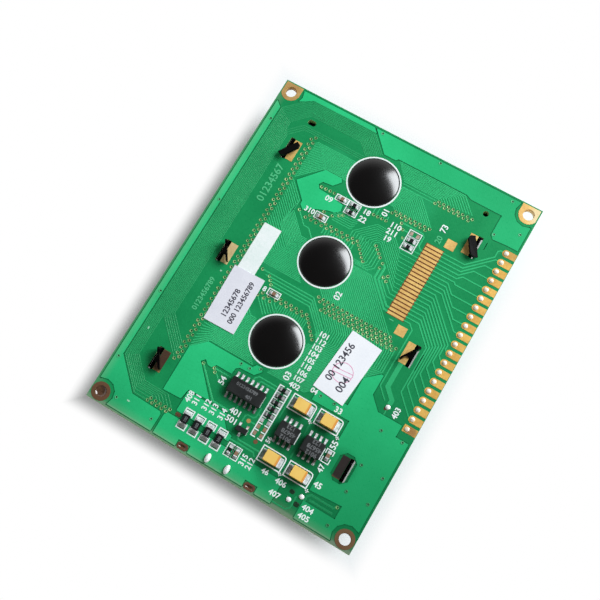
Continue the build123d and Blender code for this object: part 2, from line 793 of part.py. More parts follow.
def chip(size, end, x, y, turn):
    """The body and the two end caps of a chip that lies along X before its turn."""
    length, width, height = size
    seat = Pos(x, y) * Rot(0, 0, turn)
    body = seat * block((length - 2 * end, width, height), (0, 0), copper_top)
    shift = (length - end) / 2
    caps = [seat * block((end, width, height), (side * shift, 0), copper_top) for side in (-1, 1)]
    return body, caps


def save_chips(name, places, size, end):
    """Writes the bodies and the end caps of like chips, each place being x, y and turn."""
    bodies, caps = [], []
    for x, y, turn in places:
        body, pair = chip(size, end, x, y, turn)
        bodies.append(body)
        caps += pair
    save(f"{name}_bodies", bodies)
    save(f"{name}_ends", caps)


def ladder_places():
    """The rows of the ladder, from the top."""
    x, y = spot(ladder_share)
    return [(x, y + ((ladder_row_count - 1) / 2 - i) * ladder_pitch) for i in range(ladder_row_count)]


def large_chip_places():
    """The centres of the large chip resistors."""
    x, y = spot(large_chip_row_share)
    return [(x + (i - (large_chip_count - 1) / 2) * large_chip_pitch, y) for i in range(large_chip_count)]


def flat_places(*groups):
    """The places of small chips that lie along X, from groups of shares."""
    return [(*spot(share), 0) for group in groups for share in group]


def upright_places(*groups):
    """The places of small chips that lie along Y, from groups of shares."""
    return [(*spot(share), 90) for group in groups for share in group]


def chips():
    """All chip resistors and ceramic capacitors."""
    width, length, height = large_chip
    large = [(x, y, 90) for x, y in large_chip_places()]
    save_chips("large_resistor", large, (length, width, height), large_chip_end)
    wedge = Pos(length / 2, 0) * solder_wedge(large_chip_land_reach, height, width)
    wedges = []
    for x, y in large_chip_places():
        wedges += [Pos(x, y, copper_top) * Rot(0, 0, turn) * wedge for turn in (90, -90)]
    save("large_resistor_solder", wedges)
    resistors = [(x, y, 0) for x, y in ladder_places()[:ladder_filled_count]]
    resistors += flat_places(flat_resistor_shares) + upright_places(upright_resistor_shares)
    save_chips("small_resistor", resistors, small_chip, small_chip_end)
    capacitors = flat_places(flat_capacitor_shares) + upright_places(upright_capacitor_shares)
    save_chips("ceramic_capacitor", capacitors, small_chip, small_chip_end)


def land_pair(x, y, turn, offset, size):
    """The flat outlines of two lands on either side of a chip's centre."""
    seat = Pos(x, y) * Rot(0, 0, turn)
    return [seat * Pos(side * offset, 0) * Rectangle(*size) for side in (-1, 1)]


def land_outlines(growth):
    """The lands of the capacitors and chips, the bare ones too, each grown by some width all round."""
    lands = []
    inner = tantalum_length / 2 - terminal_foot
    size = (tantalum_reach - inner + 2 * growth, tantalum_land_width + 2 * growth)
    for x, y in tantalum_places():
        lands += land_pair(x, y, 0, (tantalum_reach + inner) / 2, size)
    inner = large_chip[1] / 2 - large_chip_end
    size = (large_chip_reach - inner + 2 * growth, large_chip[0] + 2 * growth)
    for x, y in large_chip_places():
        lands += land_pair(x, y, 90, (large_chip_reach + inner) / 2, size)
    size = (small_land[0] + 2 * growth, small_land[1] + 2 * growth)
    places = [(x, y, 0) for x, y in ladder_places()]
    places += flat_places(flat_resistor_shares, flat_capacitor_shares, bare_chip_shares)
    places += upright_places(upright_resistor_shares, upright_capacitor_shares)
    for x, y, turn in places:
        lands += land_pair(x, y, turn, small_land_offset, size)
    return lands


def lead_lands(places, span, foot):
    """The outlines of the lands under a package's leads, each place being x, y and turn."""
    inner = span / 2 - foot - lead_land_heel
    outer = span / 2 + lead_land_toe
    land = Pos((inner + outer) / 2, 0) * Rectangle(outer - inner, lead_width + 2 * lead_land_side)
    return [Pos(x, y) * Rot(0, 0, turn) * land for x, y, turn in places]


def component_lands():
    """The thin metal lands that the capacitors and chips are soldered to, and those of the packages."""
    save("component_lands", [plate(land, board_top, copper_thickness) for land in land_outlines(0)])
    lands = []
    for name, share in package_shares.items():
        places = package_lead_places(package_pins[name], *spot(share))
        lands += lead_lands(places, lead_span, lead_foot)
    x, y = spot(transistor_share)
    places = [(x + shift, y, turn) for shift, turn in transistor_leads_at]
    lands += lead_lands(places, transistor_span, transistor_foot)
    save("package_lands", [plate(land, board_top, copper_thickness) for land in lands])


def laid_over(sketch, top, under):
    """A thin sheet from the board up to the height top that follows whatever lies under it."""
    sheet = plate(sketch, board_top, top - board_top)
    for solid in under:
        sheet -= solid
    return sheet.solids()


def printed_outlines(pours):
    """White outlines round the tantalum capacitors, the large resistors and the ladder."""
    frame = tantalum_frame(0) - tantalum_frame(outline_width)
    prints = [Pos(x, y) * frame for x, y in tantalum_places()]
    prints += large_outlines()
    prints += ladder_outline()
    solids = []
    for sketch in prints:
        solids += laid_over(sketch, ink_top, pours)
    save("printed_outlines", solids)


def tantalum_frame(inset):
    """A rectangle with one round corner, which two straight cuts stand for, set in from the print's edge."""
    half_width = tantalum_reach + tantalum_print_gap[0] + outline_width - inset
    half_length = tantalum_width / 2 + tantalum_print_gap[1] + outline_width - inset
    radius = tantalum_outline_radius - inset
    near = corner_share * radius
    corner = [(half_width, half_length - radius), (half_width - near, half_length - near)]
    corner.append((half_width - radius, half_length))
    ends = [(-half_width, half_length), (-half_width, -half_length), (half_width, -half_length)]
    return outline([*corner, *ends])


def large_outlines():
    """A pair of brackets round each large resistor, open beside its black middle."""
    width = large_chip[0] + 2 * (large_print_gap[0] + outline_width)
    length = 2 * (large_chip_reach + large_print_gap[1] + outline_width)
    frame = ring_sketch(width, length, outline_width)
    brackets = frame - Rectangle(2 * width, large_outline_opening)
    placed = [Pos(x, y) * brackets for x, y in large_chip_places()]
    return [Sketch() + face for shape in placed for face in shape.faces()]


def ladder_outline():
    """The ladder's frame and rungs, open all down the middle, so that two combs are left."""
    width = 2 * (small_land_end + ladder_print_gap + outline_width)
    length = ladder_row_count * ladder_pitch + outline_width
    combs = ring_sketch(width, length, outline_width)
    for i in range(1, ladder_row_count):
        rung_y = (ladder_row_count / 2 - i) * ladder_pitch
        combs += Pos(0, rung_y) * Rectangle(width - outline_width, outline_width)
    combs -= Rectangle(ladder_opening, 2 * length)
    return [Sketch() + face for face in (Pos(*spot(ladder_share)) * combs).faces()]


def labels_and_block(pours):
    """The printed block and the two paper labels, one of which covers the end of the block."""
    ink = laid_over(Pos(*spot(block_share)) * Rectangle(block_width, block_length), ink_top, pours)
    save("printed_block", ink)
    for name, size, share, turn in (
        ("lot_label", lot_label_size, lot_label_share, lot_label_turn),
        ("check_label", check_label_size, check_label_share, check_label_turn),
    ):
        sheet = Pos(*spot(share)) * Rot(0, 0, turn) * Rectangle(*size)
        save(name, laid_over(sheet, ink_top + label_thickness, pours + ink))


def bare_points():
    """Bare round test points."""
    disc = small_round(test_point_radius)
    ladder_x, ladder_y = spot(ladder_share)
    ladder_end = ladder_y - ladder_row_count * ladder_pitch / 2
    places = [spot(upper_test_share), (ladder_x + ladder_test_shift, ladder_end - ladder_test_gap)]
    save("test_points", [plate(Pos(*place) * disc, board_top, copper_thickness) for place in places])


save("circuit_board", [circuit_board()])
save("bezel", [bezel()])
display_cell()
contact_strips()
backlight()
solder_joints()
mounting_pads()
leg_pads()
edge_fingers()
connector_land()
finger_traces()
pour_solids = copper_pours()
anchor_rims()
chip_domes()
for package_name, package_share in package_shares.items():
    small_outline_package(package_name, package_pins[package_name], *spot(package_share))
transistor()
tantalum_capacitors()
chips()
component_lands()
printed_outlines(pour_solids)
labels_and_block(pour_solids)
bare_points()
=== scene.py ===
"""Dresses a graphic LCD module that lies on its display face, seen from its component side."""

import json
import logging
import math
from collections.abc import Iterable, Sequence
from dataclasses import dataclass, field
from enum import Enum
from functools import cache

import bmesh
import bpy
from mathutils import Matrix, Vector


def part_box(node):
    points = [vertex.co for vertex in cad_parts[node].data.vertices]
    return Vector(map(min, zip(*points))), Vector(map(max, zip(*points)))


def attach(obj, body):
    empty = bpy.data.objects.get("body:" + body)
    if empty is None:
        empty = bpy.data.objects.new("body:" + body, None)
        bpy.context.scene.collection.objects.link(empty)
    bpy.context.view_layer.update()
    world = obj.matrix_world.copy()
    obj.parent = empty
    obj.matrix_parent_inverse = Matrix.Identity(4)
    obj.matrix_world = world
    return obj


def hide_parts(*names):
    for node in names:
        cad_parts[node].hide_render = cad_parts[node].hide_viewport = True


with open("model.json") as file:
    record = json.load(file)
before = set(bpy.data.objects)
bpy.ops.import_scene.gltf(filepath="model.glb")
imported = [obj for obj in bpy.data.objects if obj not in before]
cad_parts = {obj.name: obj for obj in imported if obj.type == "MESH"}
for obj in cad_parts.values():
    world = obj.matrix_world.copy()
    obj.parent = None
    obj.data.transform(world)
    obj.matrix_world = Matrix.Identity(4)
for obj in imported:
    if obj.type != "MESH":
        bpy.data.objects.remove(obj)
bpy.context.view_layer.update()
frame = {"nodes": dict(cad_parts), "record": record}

log = logging.getLogger("lcd_module")
MM = 0.001
WELD = 0.0001 * MM
Point = tuple[float, float]
Place = tuple[float, float, float]
Colour = tuple[float, float, float, float]


def srgb(red: int, green: int, blue: int) -> Colour:
    """A colour written as on a screen, turned into the linear values that shaders use.

    Args:
        red: 0 to 255.
        green: 0 to 255.
        blue: 0 to 255.

    Returns:
        Linear red, green and blue with an alpha of one.
    """
    parts = [value / 255 for value in (red, green, blue)]
    linear = [part / 12.92 if part <= 0.04045 else ((part + 0.055) / 1.055) ** 2.4 for part in parts]
    return (*linear, 1.0)


# Shader maths


class Value:
    """A socket of a material's nodes that takes part in Python expressions."""

    def __init__(self, shader: "Shader", socket: bpy.types.NodeSocket) -> None:
        """Wraps a socket of the shader's tree."""
        self.shader = shader
        self.socket = socket

    def __add__(self, other: "Value | float") -> "Value":
        """The sum of two values."""
        return self.shader.math("ADD", self, other)

    def __radd__(self, other: float) -> "Value":
        """The sum of a number and a value."""
        return self.shader.math("ADD", other, self)

    def __sub__(self, other: "Value | float") -> "Value":
        """The difference of two values."""
        return self.shader.math("SUBTRACT", self, other)

    def __rsub__(self, other: float) -> "Value":
        """A number less a value."""
        return self.shader.math("SUBTRACT", other, self)

    def __mul__(self, other: "Value | float") -> "Value":
        """The product of two values."""
        return self.shader.math("MULTIPLY", self, other)

    def __rmul__(self, other: float) -> "Value":
        """The product of a number and a value."""
        return self.shader.math("MULTIPLY", other, self)

    def __gt__(self, other: "Value | float") -> "Value":
        """One where the value is greater, and otherwise zero."""
        return self.shader.math("GREATER_THAN", self, other)

    def __lt__(self, other: "Value | float") -> "Value":
        """One where the value is less, and otherwise zero."""
        return self.shader.math("LESS_THAN", self, other)

    def most(self, other: "Value | float") -> "Value":
        """The greater of two values."""
        return self.shader.math("MAXIMUM", self, other)

    def size(self) -> "Value":
        """The value without its sign."""
        return self.shader.math("ABSOLUTE", self)

    def between(self, low: float, high: float) -> "Value":
        """A smooth step.

        Args:
            low: The level at which it is zero.
            high: The level at which it is one.

        Returns:
            The step.
        """
        node = self.shader.node(
            "ShaderNodeMapRange",
            {"interpolation_type": "SMOOTHSTEP"},
            {"Value": self, "From Min": low, "From Max": high},
        )
        return Value(self.shader, node.outputs["Result"])


class Shader:
    """The nodes of one material, built round a Principled shader, or of a world."""

    def __init__(self, name: str, world: bool = False) -> None:
        """Starts an empty material or world.

        Args:
            name: Its name.
            world: Whether it is a world.
        """
        self.owner = (bpy.data.worlds if world else bpy.data.materials).new(name)
        self.owner.use_nodes = True
        self.tree = self.owner.node_tree
        self.tree.nodes.clear()
        self.output = self.node("ShaderNodeOutputWorld" if world else "ShaderNodeOutputMaterial")

    def node(self, kind: str, settings: dict | None = None, inputs: dict | None = None) -> bpy.types.Node:
        """Adds one node.

        Args:
            kind: The node's type.
            settings: Its attributes by name, which are set first.
            inputs: Numbers, colours or values by socket name or index.

        Returns:
            The new node.
        """
        node = self.tree.nodes.new(kind)
        for key, value in (settings or {}).items():
            setattr(node, key, value)
        for key, value in (inputs or {}).items():
            if isinstance(value, Value):
                self.tree.links.new(value.socket, node.inputs[key])
            else:
                node.inputs[key].default_value = value
        return node

    def math(self, operation: str, *values: "Value | float") -> Value:
        """A Math node on one or more values."""
        node = self.node("ShaderNodeMath", {"operation": operation}, dict(enumerate(values)))
        return Value(self, node.outputs[0])

    def place(self) -> Value:
        """The place on the object, in millimetres, as a vector."""
        coordinates = Value(self, self.node("ShaderNodeTexCoord").outputs["Object"])
        scaled = self.node("ShaderNodeVectorMath", {"operation": "SCALE"}, {0: coordinates, "Scale": 1 / MM})
        return Value(self, scaled.outputs[0])

    def parts(self, vector: Value) -> tuple[Value, Value, Value]:
        """The three parts of a vector."""
        node = self.node("ShaderNodeSeparateXYZ", inputs={0: vector})
        return tuple(Value(self, node.outputs[i]) for i in range(3))

    def facing(self) -> Value:
        """How far the surface faces up, from minus one to one."""
        geometry = self.node("ShaderNodeNewGeometry")
        return self.parts(Value(self, geometry.outputs["Normal"]))[2]

    def noise(self, scale: float, detail: float = 3.0, rough: float = 0.5) -> Value:
        """Cloudy noise.

        Args:
            scale: Its cells in a millimetre.
            detail: The number of finer layers.
            rough: How strong the finer layers are.

        Returns:
            A value round one half.
        """
        inputs = {"Vector": self.place(), "Scale": scale, "Detail": detail, "Roughness": rough}
        return Value(self, self.node("ShaderNodeTexNoise", inputs=inputs).outputs["Fac"])

    def near(self, x: float, y: float, reach: float, edge: float = 0.3) -> Value:
        """One close to a place on the board, falling to zero at a distance.

        Args:
            x: The place, in millimetres.
            y: The place, in millimetres.
            reach: The distance at which it is zero.
            edge: The share of the reach in which it falls.

        Returns:
            A mask.
        """
        flat = self.node("ShaderNodeVectorMath", {"operation": "MULTIPLY"}, {0: self.place(), 1: (1, 1, 0)})
        inputs = {0: Value(self, flat.outputs[0]), 1: (x, y, 0)}
        distance = self.node("ShaderNodeVectorMath", {"operation": "DISTANCE"}, inputs)
        return Value(self, distance.outputs["Value"]).between(reach, reach * (1 - edge))

    def mix(self, factor: Value | float, first: Value | Colour, second: Value | Colour) -> Value:
        """A blend of two colours, by the indices of the Mix node's factor and colour sockets."""
        node = self.node("ShaderNodeMix", {"data_type": "RGBA"}, {0: factor, 6: first, 7: second})
        return Value(self, node.outputs[2])

    def bump(self, height: Value, strength: float, depth: float) -> Value:
        """A normal tilted by a height.

        Args:
            height: The height, from zero to one.
            strength: From zero to one.
            depth: The height's full depth, in millimetres.

        Returns:
            The normal.
        """
        inputs = {"Strength": strength, "Distance": depth * MM, "Height": height}
        return Value(self, self.node("ShaderNodeBump", inputs=inputs).outputs["Normal"])

    def surface(
        self, colour: Value | Colour, roughness: Value | float, **others: Value | float
    ) -> bpy.types.Material:
        """Finishes the material.

        Args:
            colour: The base colour.
            roughness: The roughness.
            others: More inputs of the Principled shader, with _ for a space.

        Returns:
            The material.
        """
        inputs = {"Base Color": colour, "Roughness": roughness}
        inputs |= {key.replace("_", " "): value for key, value in others.items()}
        principled = self.node("ShaderNodeBsdfPrincipled", inputs=inputs)
        self.tree.links.new(principled.outputs[0], self.output.inputs["Surface"])
        return self.owner


# Finishes


@dataclass(frozen=True)
class Shade:
    """A round place that turns towards another tone, used for painted shade, painted light and paler trace
    fields: its reach, strength and soft share of the reach.
    """

    x: float
    y: float
    reach: float
    strength: float
    edge: float = 1.0


SIDE = 0.5  # a face that looks up by less than this counts as a side
BLEND = (0.3, 0.7)  # the levels of cloudy noise between which one tone passes into the other
BURN_AND_SHADE = (0.2, 1.0)  # the levels between which flux marks and painted shade pass into black
RESISTOR_COLUMNS = (-11.9, -8.9, -5.95, -2.9)
# Painted shade: the green darkened towards the near right corner, round the packages and the near right leg,
# and at a few spots round the parts
PAINTED_SHADE_MARKS = (
    Shade(36.0, -48.0, 62.0, 0.8),
    *(Shade(x, -30.2, 6.2, 0.75, 0.5) for x in (9.8, 16.5)),
    *(Shade(x, -27.2, 5.0, 0.6, 0.5) for x in (-5.4, -1.4)),
    Shade(23.7, -30.4, 5.0, 0.7, 0.6),
    Shade(11.0, -40.5, 4.5, 0.5, 0.7),
)
# Painted shade on the pours too: darker towards the far right and the near left corner
PAINTED_POUR_SHADE_MARKS = (*PAINTED_SHADE_MARKS, Shade(25.0, 47.0, 44.0, 0.42), Shade(-31.0, -45.0, 16.0, 0.42))
FIELD_LIGHTS = (
    Shade(6.5, 6.5, 9.0, 0.6, 0.6),
    *(Shade(-14.0, y, 6.0, 0.45, 0.7) for y in (33.0, 5.0)),
    *(Shade(-14.0, y, 6.0, 0.4, 0.7) for y in (-13.0, -18.0)),
    Shade(9.0, 33.0, 6.0, 0.4, 0.7),
)


@dataclass(frozen=True)
class SolderMask:
    """Green lacquer, with the weave of the laminate faintly under it and a pale cut edge; painted shade
    darkens it in places, and a painted sheen lightens its left and near edges.
    """

    name: str
    tone: Colour
    deep: Colour
    # Painted shade: the tone that the shade marks turn the green towards
    shaded: Colour = srgb(10, 104, 60)
    shades: tuple[Shade, ...] = PAINTED_SHADE_MARKS
    lights: tuple[Shade, ...] = ()
    lit: Colour = srgb(46, 174, 112)
    # Painted sheen: a pale haze mixed in along the left and near edges and the near rim
    painted_sheen: Colour = srgb(186, 168, 164)
    margin: float = 0.0
    left_margin: tuple[float, float] = (-32.4, 2.2)
    near_margin: tuple[float, float] = (-43.4, 2.8)
    rim: float = 0.2
    near_rim: tuple[float, float] = (-45.3, 0.6)
    cut_edge: Colour = srgb(176, 190, 140)
    cut_shade: Colour = srgb(120, 160, 100)
    roughness: float = 0.24
    grain_gloss: float = 0.1
    side_gloss: float = 0.3
    specular: float = 0.3
    weave_pitch: float = 0.7
    relief: tuple[float, float] = (0.25, 0.02)

    def material(self) -> bpy.types.Material:
        """The lacquer's material."""
        shader = Shader(self.name)
        cloud = shader.noise(0.09, 4)
        grain = shader.noise(1.6, 2)
        green = shader.mix((cloud * 0.75 + grain * 0.25).between(*BLEND), self.deep, self.tone)
        # The shade marks paint shade into the green; the light marks turn it paler
        for shades, tone in ((self.shades, self.shaded), (self.lights, self.lit)):
            for shade in shades:
                mark = shader.near(shade.x, shade.y, shade.reach, shade.edge) * shade.strength
                green = shader.mix(mark, green, tone)
        x, y, _ = shader.parts(shader.place())
        # Painted sheen along the left and near edges and the near rim
        if self.margin:
            left, near, rim = (
                (start - part).between(0.0, width)
                for part, (start, width) in ((x, self.left_margin), (y, self.near_margin), (y, self.near_rim))
            )
            green = shader.mix(left.most(near) * self.margin + rim * self.rim, green, self.painted_sheen)
        turn = 2 * math.pi / self.weave_pitch
        weave = shader.math("SINE", x * turn) * shader.math("SINE", y * turn)
        side = shader.facing().size() < SIDE
        colour = shader.mix(side, green, shader.mix(grain, self.cut_edge, self.cut_shade))
        roughness = self.roughness + self.grain_gloss * grain + self.side_gloss * side
        normal = shader.bump(weave * 0.5 + shader.noise(0.8, 3), *self.relief)
        return shader.surface(colour, roughness, Normal=normal, Specular_IOR_Level=self.specular)


@dataclass(frozen=True)
class StainAndShade:
    """A round mark on plated copper or solder, used both for flux and for painted shade: its place, reach,
    strength, and how far it turns black.
    """

    x: float
    y: float
    reach: float
    strength: float = 1.0
    burn_and_shade: float = 0.0


@dataclass(frozen=True)
class Plating:
    """Satin gold on copper, browned in places by flux and by painted shade and reflection, and made paler in
    places by painted light.
    """

    name: str
    light: Colour = srgb(242, 202, 120)
    dark: Colour = srgb(218, 170, 96)
    stain_and_shade_tone: Colour = srgb(108, 68, 50)
    burnt_and_shaded: Colour = srgb(30, 18, 14)
    stains_and_shade: tuple[StainAndShade, ...] = ()
    pale: Colour = srgb(234, 238, 206)
    painted_lights: tuple[Shade, ...] = ()
    roughness: float = 0.42
    grain_gloss: float = 0.15
    metallic: float = 0.35
    blend: tuple[float, float] = (0.35, 0.65)
    stain_and_shade_edge: float = 0.5
    relief: tuple[float, float] = (0.3, 0.01)

    def material(self) -> bpy.types.Material:
        """The plating's material."""
        shader = Shader(self.name)
        grain = shader.noise(2.4, 5, 0.65)
        cloud = shader.noise(0.35, 3)
        gold = shader.mix((grain * 0.4 + cloud * 0.6).between(*self.blend), self.dark, self.light)
        # Painted light: the gold turns paler at the light marks
        for shade in self.painted_lights:
            mark = shader.near(shade.x, shade.y, shade.reach, shade.edge) * shade.strength
            gold = shader.mix(mark, gold, self.pale)
        roughness = self.roughness + self.grain_gloss * grain
        brown: Value | float = 0.0
        # Flux marks, in places painted shade and painted reflection, brown the gold and darken it towards
        # black
        for flux in self.stains_and_shade:
            mark = shader.near(flux.x, flux.y, flux.reach, self.stain_and_shade_edge) * flux.strength
            tone = shader.mix((grain * 0.5 + flux.burn_and_shade).between(*BURN_AND_SHADE), self.stain_and_shade_tone, self.burnt_and_shaded)
            gold = shader.mix(mark, gold, tone)
            brown = mark.most(brown)
        metallic = self.metallic - self.metallic * brown
        normal = shader.bump(shader.noise(6, 3), *self.relief)
        return shader.surface(gold, roughness, Metallic=metallic, Normal=normal)


@dataclass(frozen=True)
class BareMetal:
    """Solder, tin or nickel: bright metal with a soft cloudy sheen, in places tinged by flux or bare gold,
    and in others darkened nearly black as painted shade.
    """

    name: str
    light: Colour = srgb(246, 247, 249)
    dark: Colour = srgb(188, 190, 194)
    roughness: float = 0.25
    ripple: float = 0.02
    metallic: float = 0.45
    cloud_gloss: float = 0.2
    blend: tuple[float, float] = (0.32, 0.62)
    ripple_strength: float = 0.5
    mark_edge: float = 0.4
    tinge: Colour = srgb(190, 132, 74)
    burnt_and_shaded: Colour = srgb(58, 54, 44)
    marks: tuple[StainAndShade, ...] = ()

    def material(self) -> bpy.types.Material:
        """The metal's material."""
        shader = Shader(self.name)
        cloud = shader.noise(1.1, 4, 0.6)
        colour = shader.mix(cloud.between(*self.blend), self.dark, self.light)
        # Tinges of flux and bare gold, and painted shade that turns the metal nearly black
        for flux in self.marks:
            tone = shader.mix((cloud * 0.5 + flux.burn_and_shade).between(*BURN_AND_SHADE), self.tinge, self.burnt_and_shaded)
            mark = shader.near(flux.x, flux.y, flux.reach, self.mark_edge) * flux.strength
            colour = shader.mix(mark, colour, tone)
        normal = shader.bump(shader.noise(1.8, 2), self.ripple_strength, self.ripple)
        roughness = self.roughness + self.cloud_gloss * cloud
        return shader.surface(colour, roughness, Metallic=self.metallic, Normal=normal)


@dataclass(frozen=True)
class Moulded:
    """A plastic, ceramic or coated surface with a fine grain."""

    name: str
    tone: Colour
    shade: Colour
    roughness: float = 0.5
    grain: float = 3.0
    depth: float = 0.01
    specular: float = 0.5
    side_coat: float = 0.0
    side_level: float = 0.6
    cloud_size: float = 8.0
    cloud_gloss: float = 0.12
    grain_strength: float = 0.4

    def material(self) -> bpy.types.Material:
        """The surface's material."""
        shader = Shader(self.name)
        fine = shader.noise(self.grain, 4, 0.6)
        cloud = shader.noise(self.grain / self.cloud_size, 2)
        colour = shader.mix((fine * 0.5 + cloud * 0.5).between(*BLEND), self.shade, self.tone)
        normal = shader.bump(fine, self.grain_strength, self.depth)
        more = {}
        if self.side_coat:
            more["Coat_Weight"] = (shader.facing().size() < self.side_level) * self.side_coat
        roughness = self.roughness + self.cloud_gloss * (cloud - 0.5)
        return shader.surface(colour, roughness, Normal=normal, Specular_IOR_Level=self.specular, **more)


@dataclass(frozen=True)
class TantalumResin:
    """Yellow moulding with an orange band at the right end of each body, and sides painted browner as shade.
    """

    name: str
    columns: tuple[float, ...] = (9.6, 16.55)
    band: tuple[float, float] = (1.15, 1.4)
    reach: float = 2.2
    level: float = 0.6
    tone: Colour = srgb(250, 212, 116)
    shade: Colour = srgb(240, 192, 92)
    orange: Colour = srgb(232, 158, 66)
    # Painted shade: the side faces are coloured a darker brown than the top
    side: Colour = srgb(150, 98, 38)
    pale_side: Colour = srgb(186, 132, 56)
    roughness: float = 0.42
    grain_gloss: float = 0.1
    relief: tuple[float, float] = (0.35, 0.02)

    def material(self) -> bpy.types.Material:
        """The moulding's material."""
        shader = Shader(self.name)
        grain = shader.noise(4, 4)
        cloud = shader.noise(0.6, 2)
        x, _, _ = shader.parts(shader.place())
        top = shader.mix(cloud, self.shade, self.tone)
        for column in self.columns:
            end = (x - column).between(*self.band) * (x - column < self.reach)
            top = shader.mix(end, top, self.orange)
        # Painted shade on the side faces
        side = shader.facing() < self.level
        colour = shader.mix(side, top, shader.mix(grain, self.side, self.pale_side))
        roughness = self.roughness + self.grain_gloss * grain
        return shader.surface(colour, roughness, Normal=shader.bump(grain, *self.relief))


@dataclass(frozen=True)
class Glass:
    """A flat pane or film that the light goes through."""

    name: str
    tone: Colour
    roughness: float = 0.08
    transmission: float = 0.9
    cloud_tone: float = 0.92
    cloud_gloss: float = 0.03

    def material(self) -> bpy.types.Material:
        """The pane's material."""
        shader = Shader(self.name)
        cloud = shader.noise(0.2, 2)
        deeper = (*(part * self.cloud_tone for part in self.tone[:3]), 1.0)
        colour = shader.mix(cloud, self.tone, deeper)
        roughness = self.roughness + self.cloud_gloss * cloud
        return shader.surface(colour, roughness, Transmission_Weight=self.transmission)


@dataclass(frozen=True)
class StripedRubber:
    """Grey silicone with fine dark conducting layers across it."""

    name: str
    grey: Colour = srgb(150, 150, 154)
    dark: Colour = srgb(60, 60, 64)
    pitch: float = 0.18
    roughness: float = 0.6
    grain_gloss: float = 0.1

    def material(self) -> bpy.types.Material:
        """The rubber's material."""
        shader = Shader(self.name)
        _, y, _ = shader.parts(shader.place())
        layer = shader.math("SINE", y * (2 * math.pi / self.pitch)) > 0.0
        colour = shader.mix(layer, self.grey, self.dark)
        return shader.surface(colour, self.roughness + self.grain_gloss * shader.noise(3))


# The finishes of this module's pieces
BOARD_GREEN = SolderMask(
    "board_mask", srgb(29, 151, 89), srgb(20, 136, 79), lights=FIELD_LIGHTS, margin=0.12
)
POUR_GREEN = SolderMask(
    "pour_mask",
    srgb(48, 205, 132),
    srgb(40, 191, 120),
    shaded=srgb(20, 130, 78),
    cut_edge=srgb(18, 124, 74),
    shades=PAINTED_POUR_SHADE_MARKS,
    margin=0.13,
)
TRACE_GREEN = SolderMask("trace_mask", srgb(58, 192, 124), srgb(50, 180, 114), cut_edge=srgb(34, 156, 94))
BAND_GREEN = SolderMask("band_mask", srgb(48, 164, 102), srgb(40, 152, 94), cut_edge=srgb(28, 142, 84))
OUTLINE_GREEN = SolderMask("outline_mask", srgb(15, 118, 68), srgb(11, 106, 60))
ETCHED = SolderMask("etched_mask", srgb(92, 200, 142), srgb(76, 186, 126), cut_edge=srgb(40, 140, 90))
# Flux marks; on the near pads (the near mounting rings, the anchor pads and the near legs' pads) the browning
# is partly flux and partly painted shade and a painted reflection of the dark overhead
FLUX_AND_SHADE_MARKS = (
    StainAndShade(-32.5, 44.0, 4.0, 0.4),
    StainAndShade(-32.5, -44.0, 4.5, 0.95, 0.25),
    StainAndShade(32.5, -44.0, 4.5, 0.9, 0.35),
    *(StainAndShade(x, -45.1, 3.5, 1.0, 0.15) for x in (-8.9, 8.9)),
    StainAndShade(-24.2, -30.4, 4.4, 0.97, 0.5),
    StainAndShade(24.2, -30.4, 5.0, 1.0, 0.95),
    StainAndShade(33.6, -15.6, 1.6, 0.6),
    StainAndShade(0.7, -32.3, 1.2, 0.45),
    StainAndShade(4.5, -35.6, 1.2, 0.9, 0.2),
)
# Painted light: the far right mounting ring and the left middle leg's pad made paler, as if more brightly lit
PAINTED_LIGHT_MARKS = (Shade(34.6, 44.6, 3.2, 0.42, 0.6), Shade(-24.2, 0.0, 4.0, 0.3, 0.4))
GOLD = Plating("flash_gold", stains_and_shade=FLUX_AND_SHADE_MARKS, painted_lights=PAINTED_LIGHT_MARKS)
FINGER_GOLD = Plating(
    "finger_gold",
    light=srgb(236, 190, 96),
    dark=srgb(214, 162, 74),
    # The second mark is painted shade that darkens the far fingers
    stains_and_shade=(StainAndShade(33.6, -15.6, 1.6, 0.6), StainAndShade(34.5, 34.5, 5.0, 0.3)),
)
SOLDER_MARKS = (
    *(StainAndShade(x, -32.8, 2.3, 0.75, 0.1) for x in (3.0, 5.4)),
    *(StainAndShade(x, 26.4, 1.0, 0.6) for x in (11.0, 12.8)),
    # Painted shade: the tantalums' left ends, the lower rows of leads and the large resistors' lower ends,
    # darkened nearly black
    *(StainAndShade(x, y, 1.3, 0.85, 0.8) for y in (-23.2, -37.0) for x in (7.1, 14.0)),
    *(StainAndShade(x, -32.3, 1.1, 0.8, 0.8) for x in (7.6, 8.9, 10.2, 11.5, 14.2, 15.5, 16.8, 18.0)),
    *(StainAndShade(x, -29.6, 1.3, 0.6, 0.8) for x in (-6.9, -5.6, -4.3, -3.0, -1.7, -0.4, 0.9)),
    *(StainAndShade(x, -41.3, 1.1, 0.75, 0.9) for x in RESISTOR_COLUMNS),
    *(StainAndShade(4.0, y, 1.9, 0.45, 0.8) for y in (-22.0, -24.0, -26.0, -28.4)),
)
SOLDER = BareMetal("bright_solder", roughness=0.26, marks=SOLDER_MARKS)
TINNED = BareMetal(
    "tinned_lead", srgb(246, 248, 248), srgb(204, 207, 207), 0.3, metallic=0.3, marks=SOLDER_MARKS
)
FINGER_SOLDER = BareMetal("finger_solder", srgb(253, 246, 236), srgb(236, 212, 176), 0.36, metallic=0.2)
TERMINAL_TIN = BareMetal(
    "terminal_tin", srgb(255, 255, 255), srgb(232, 234, 236), 0.35, metallic=0.15, marks=SOLDER_MARKS
)

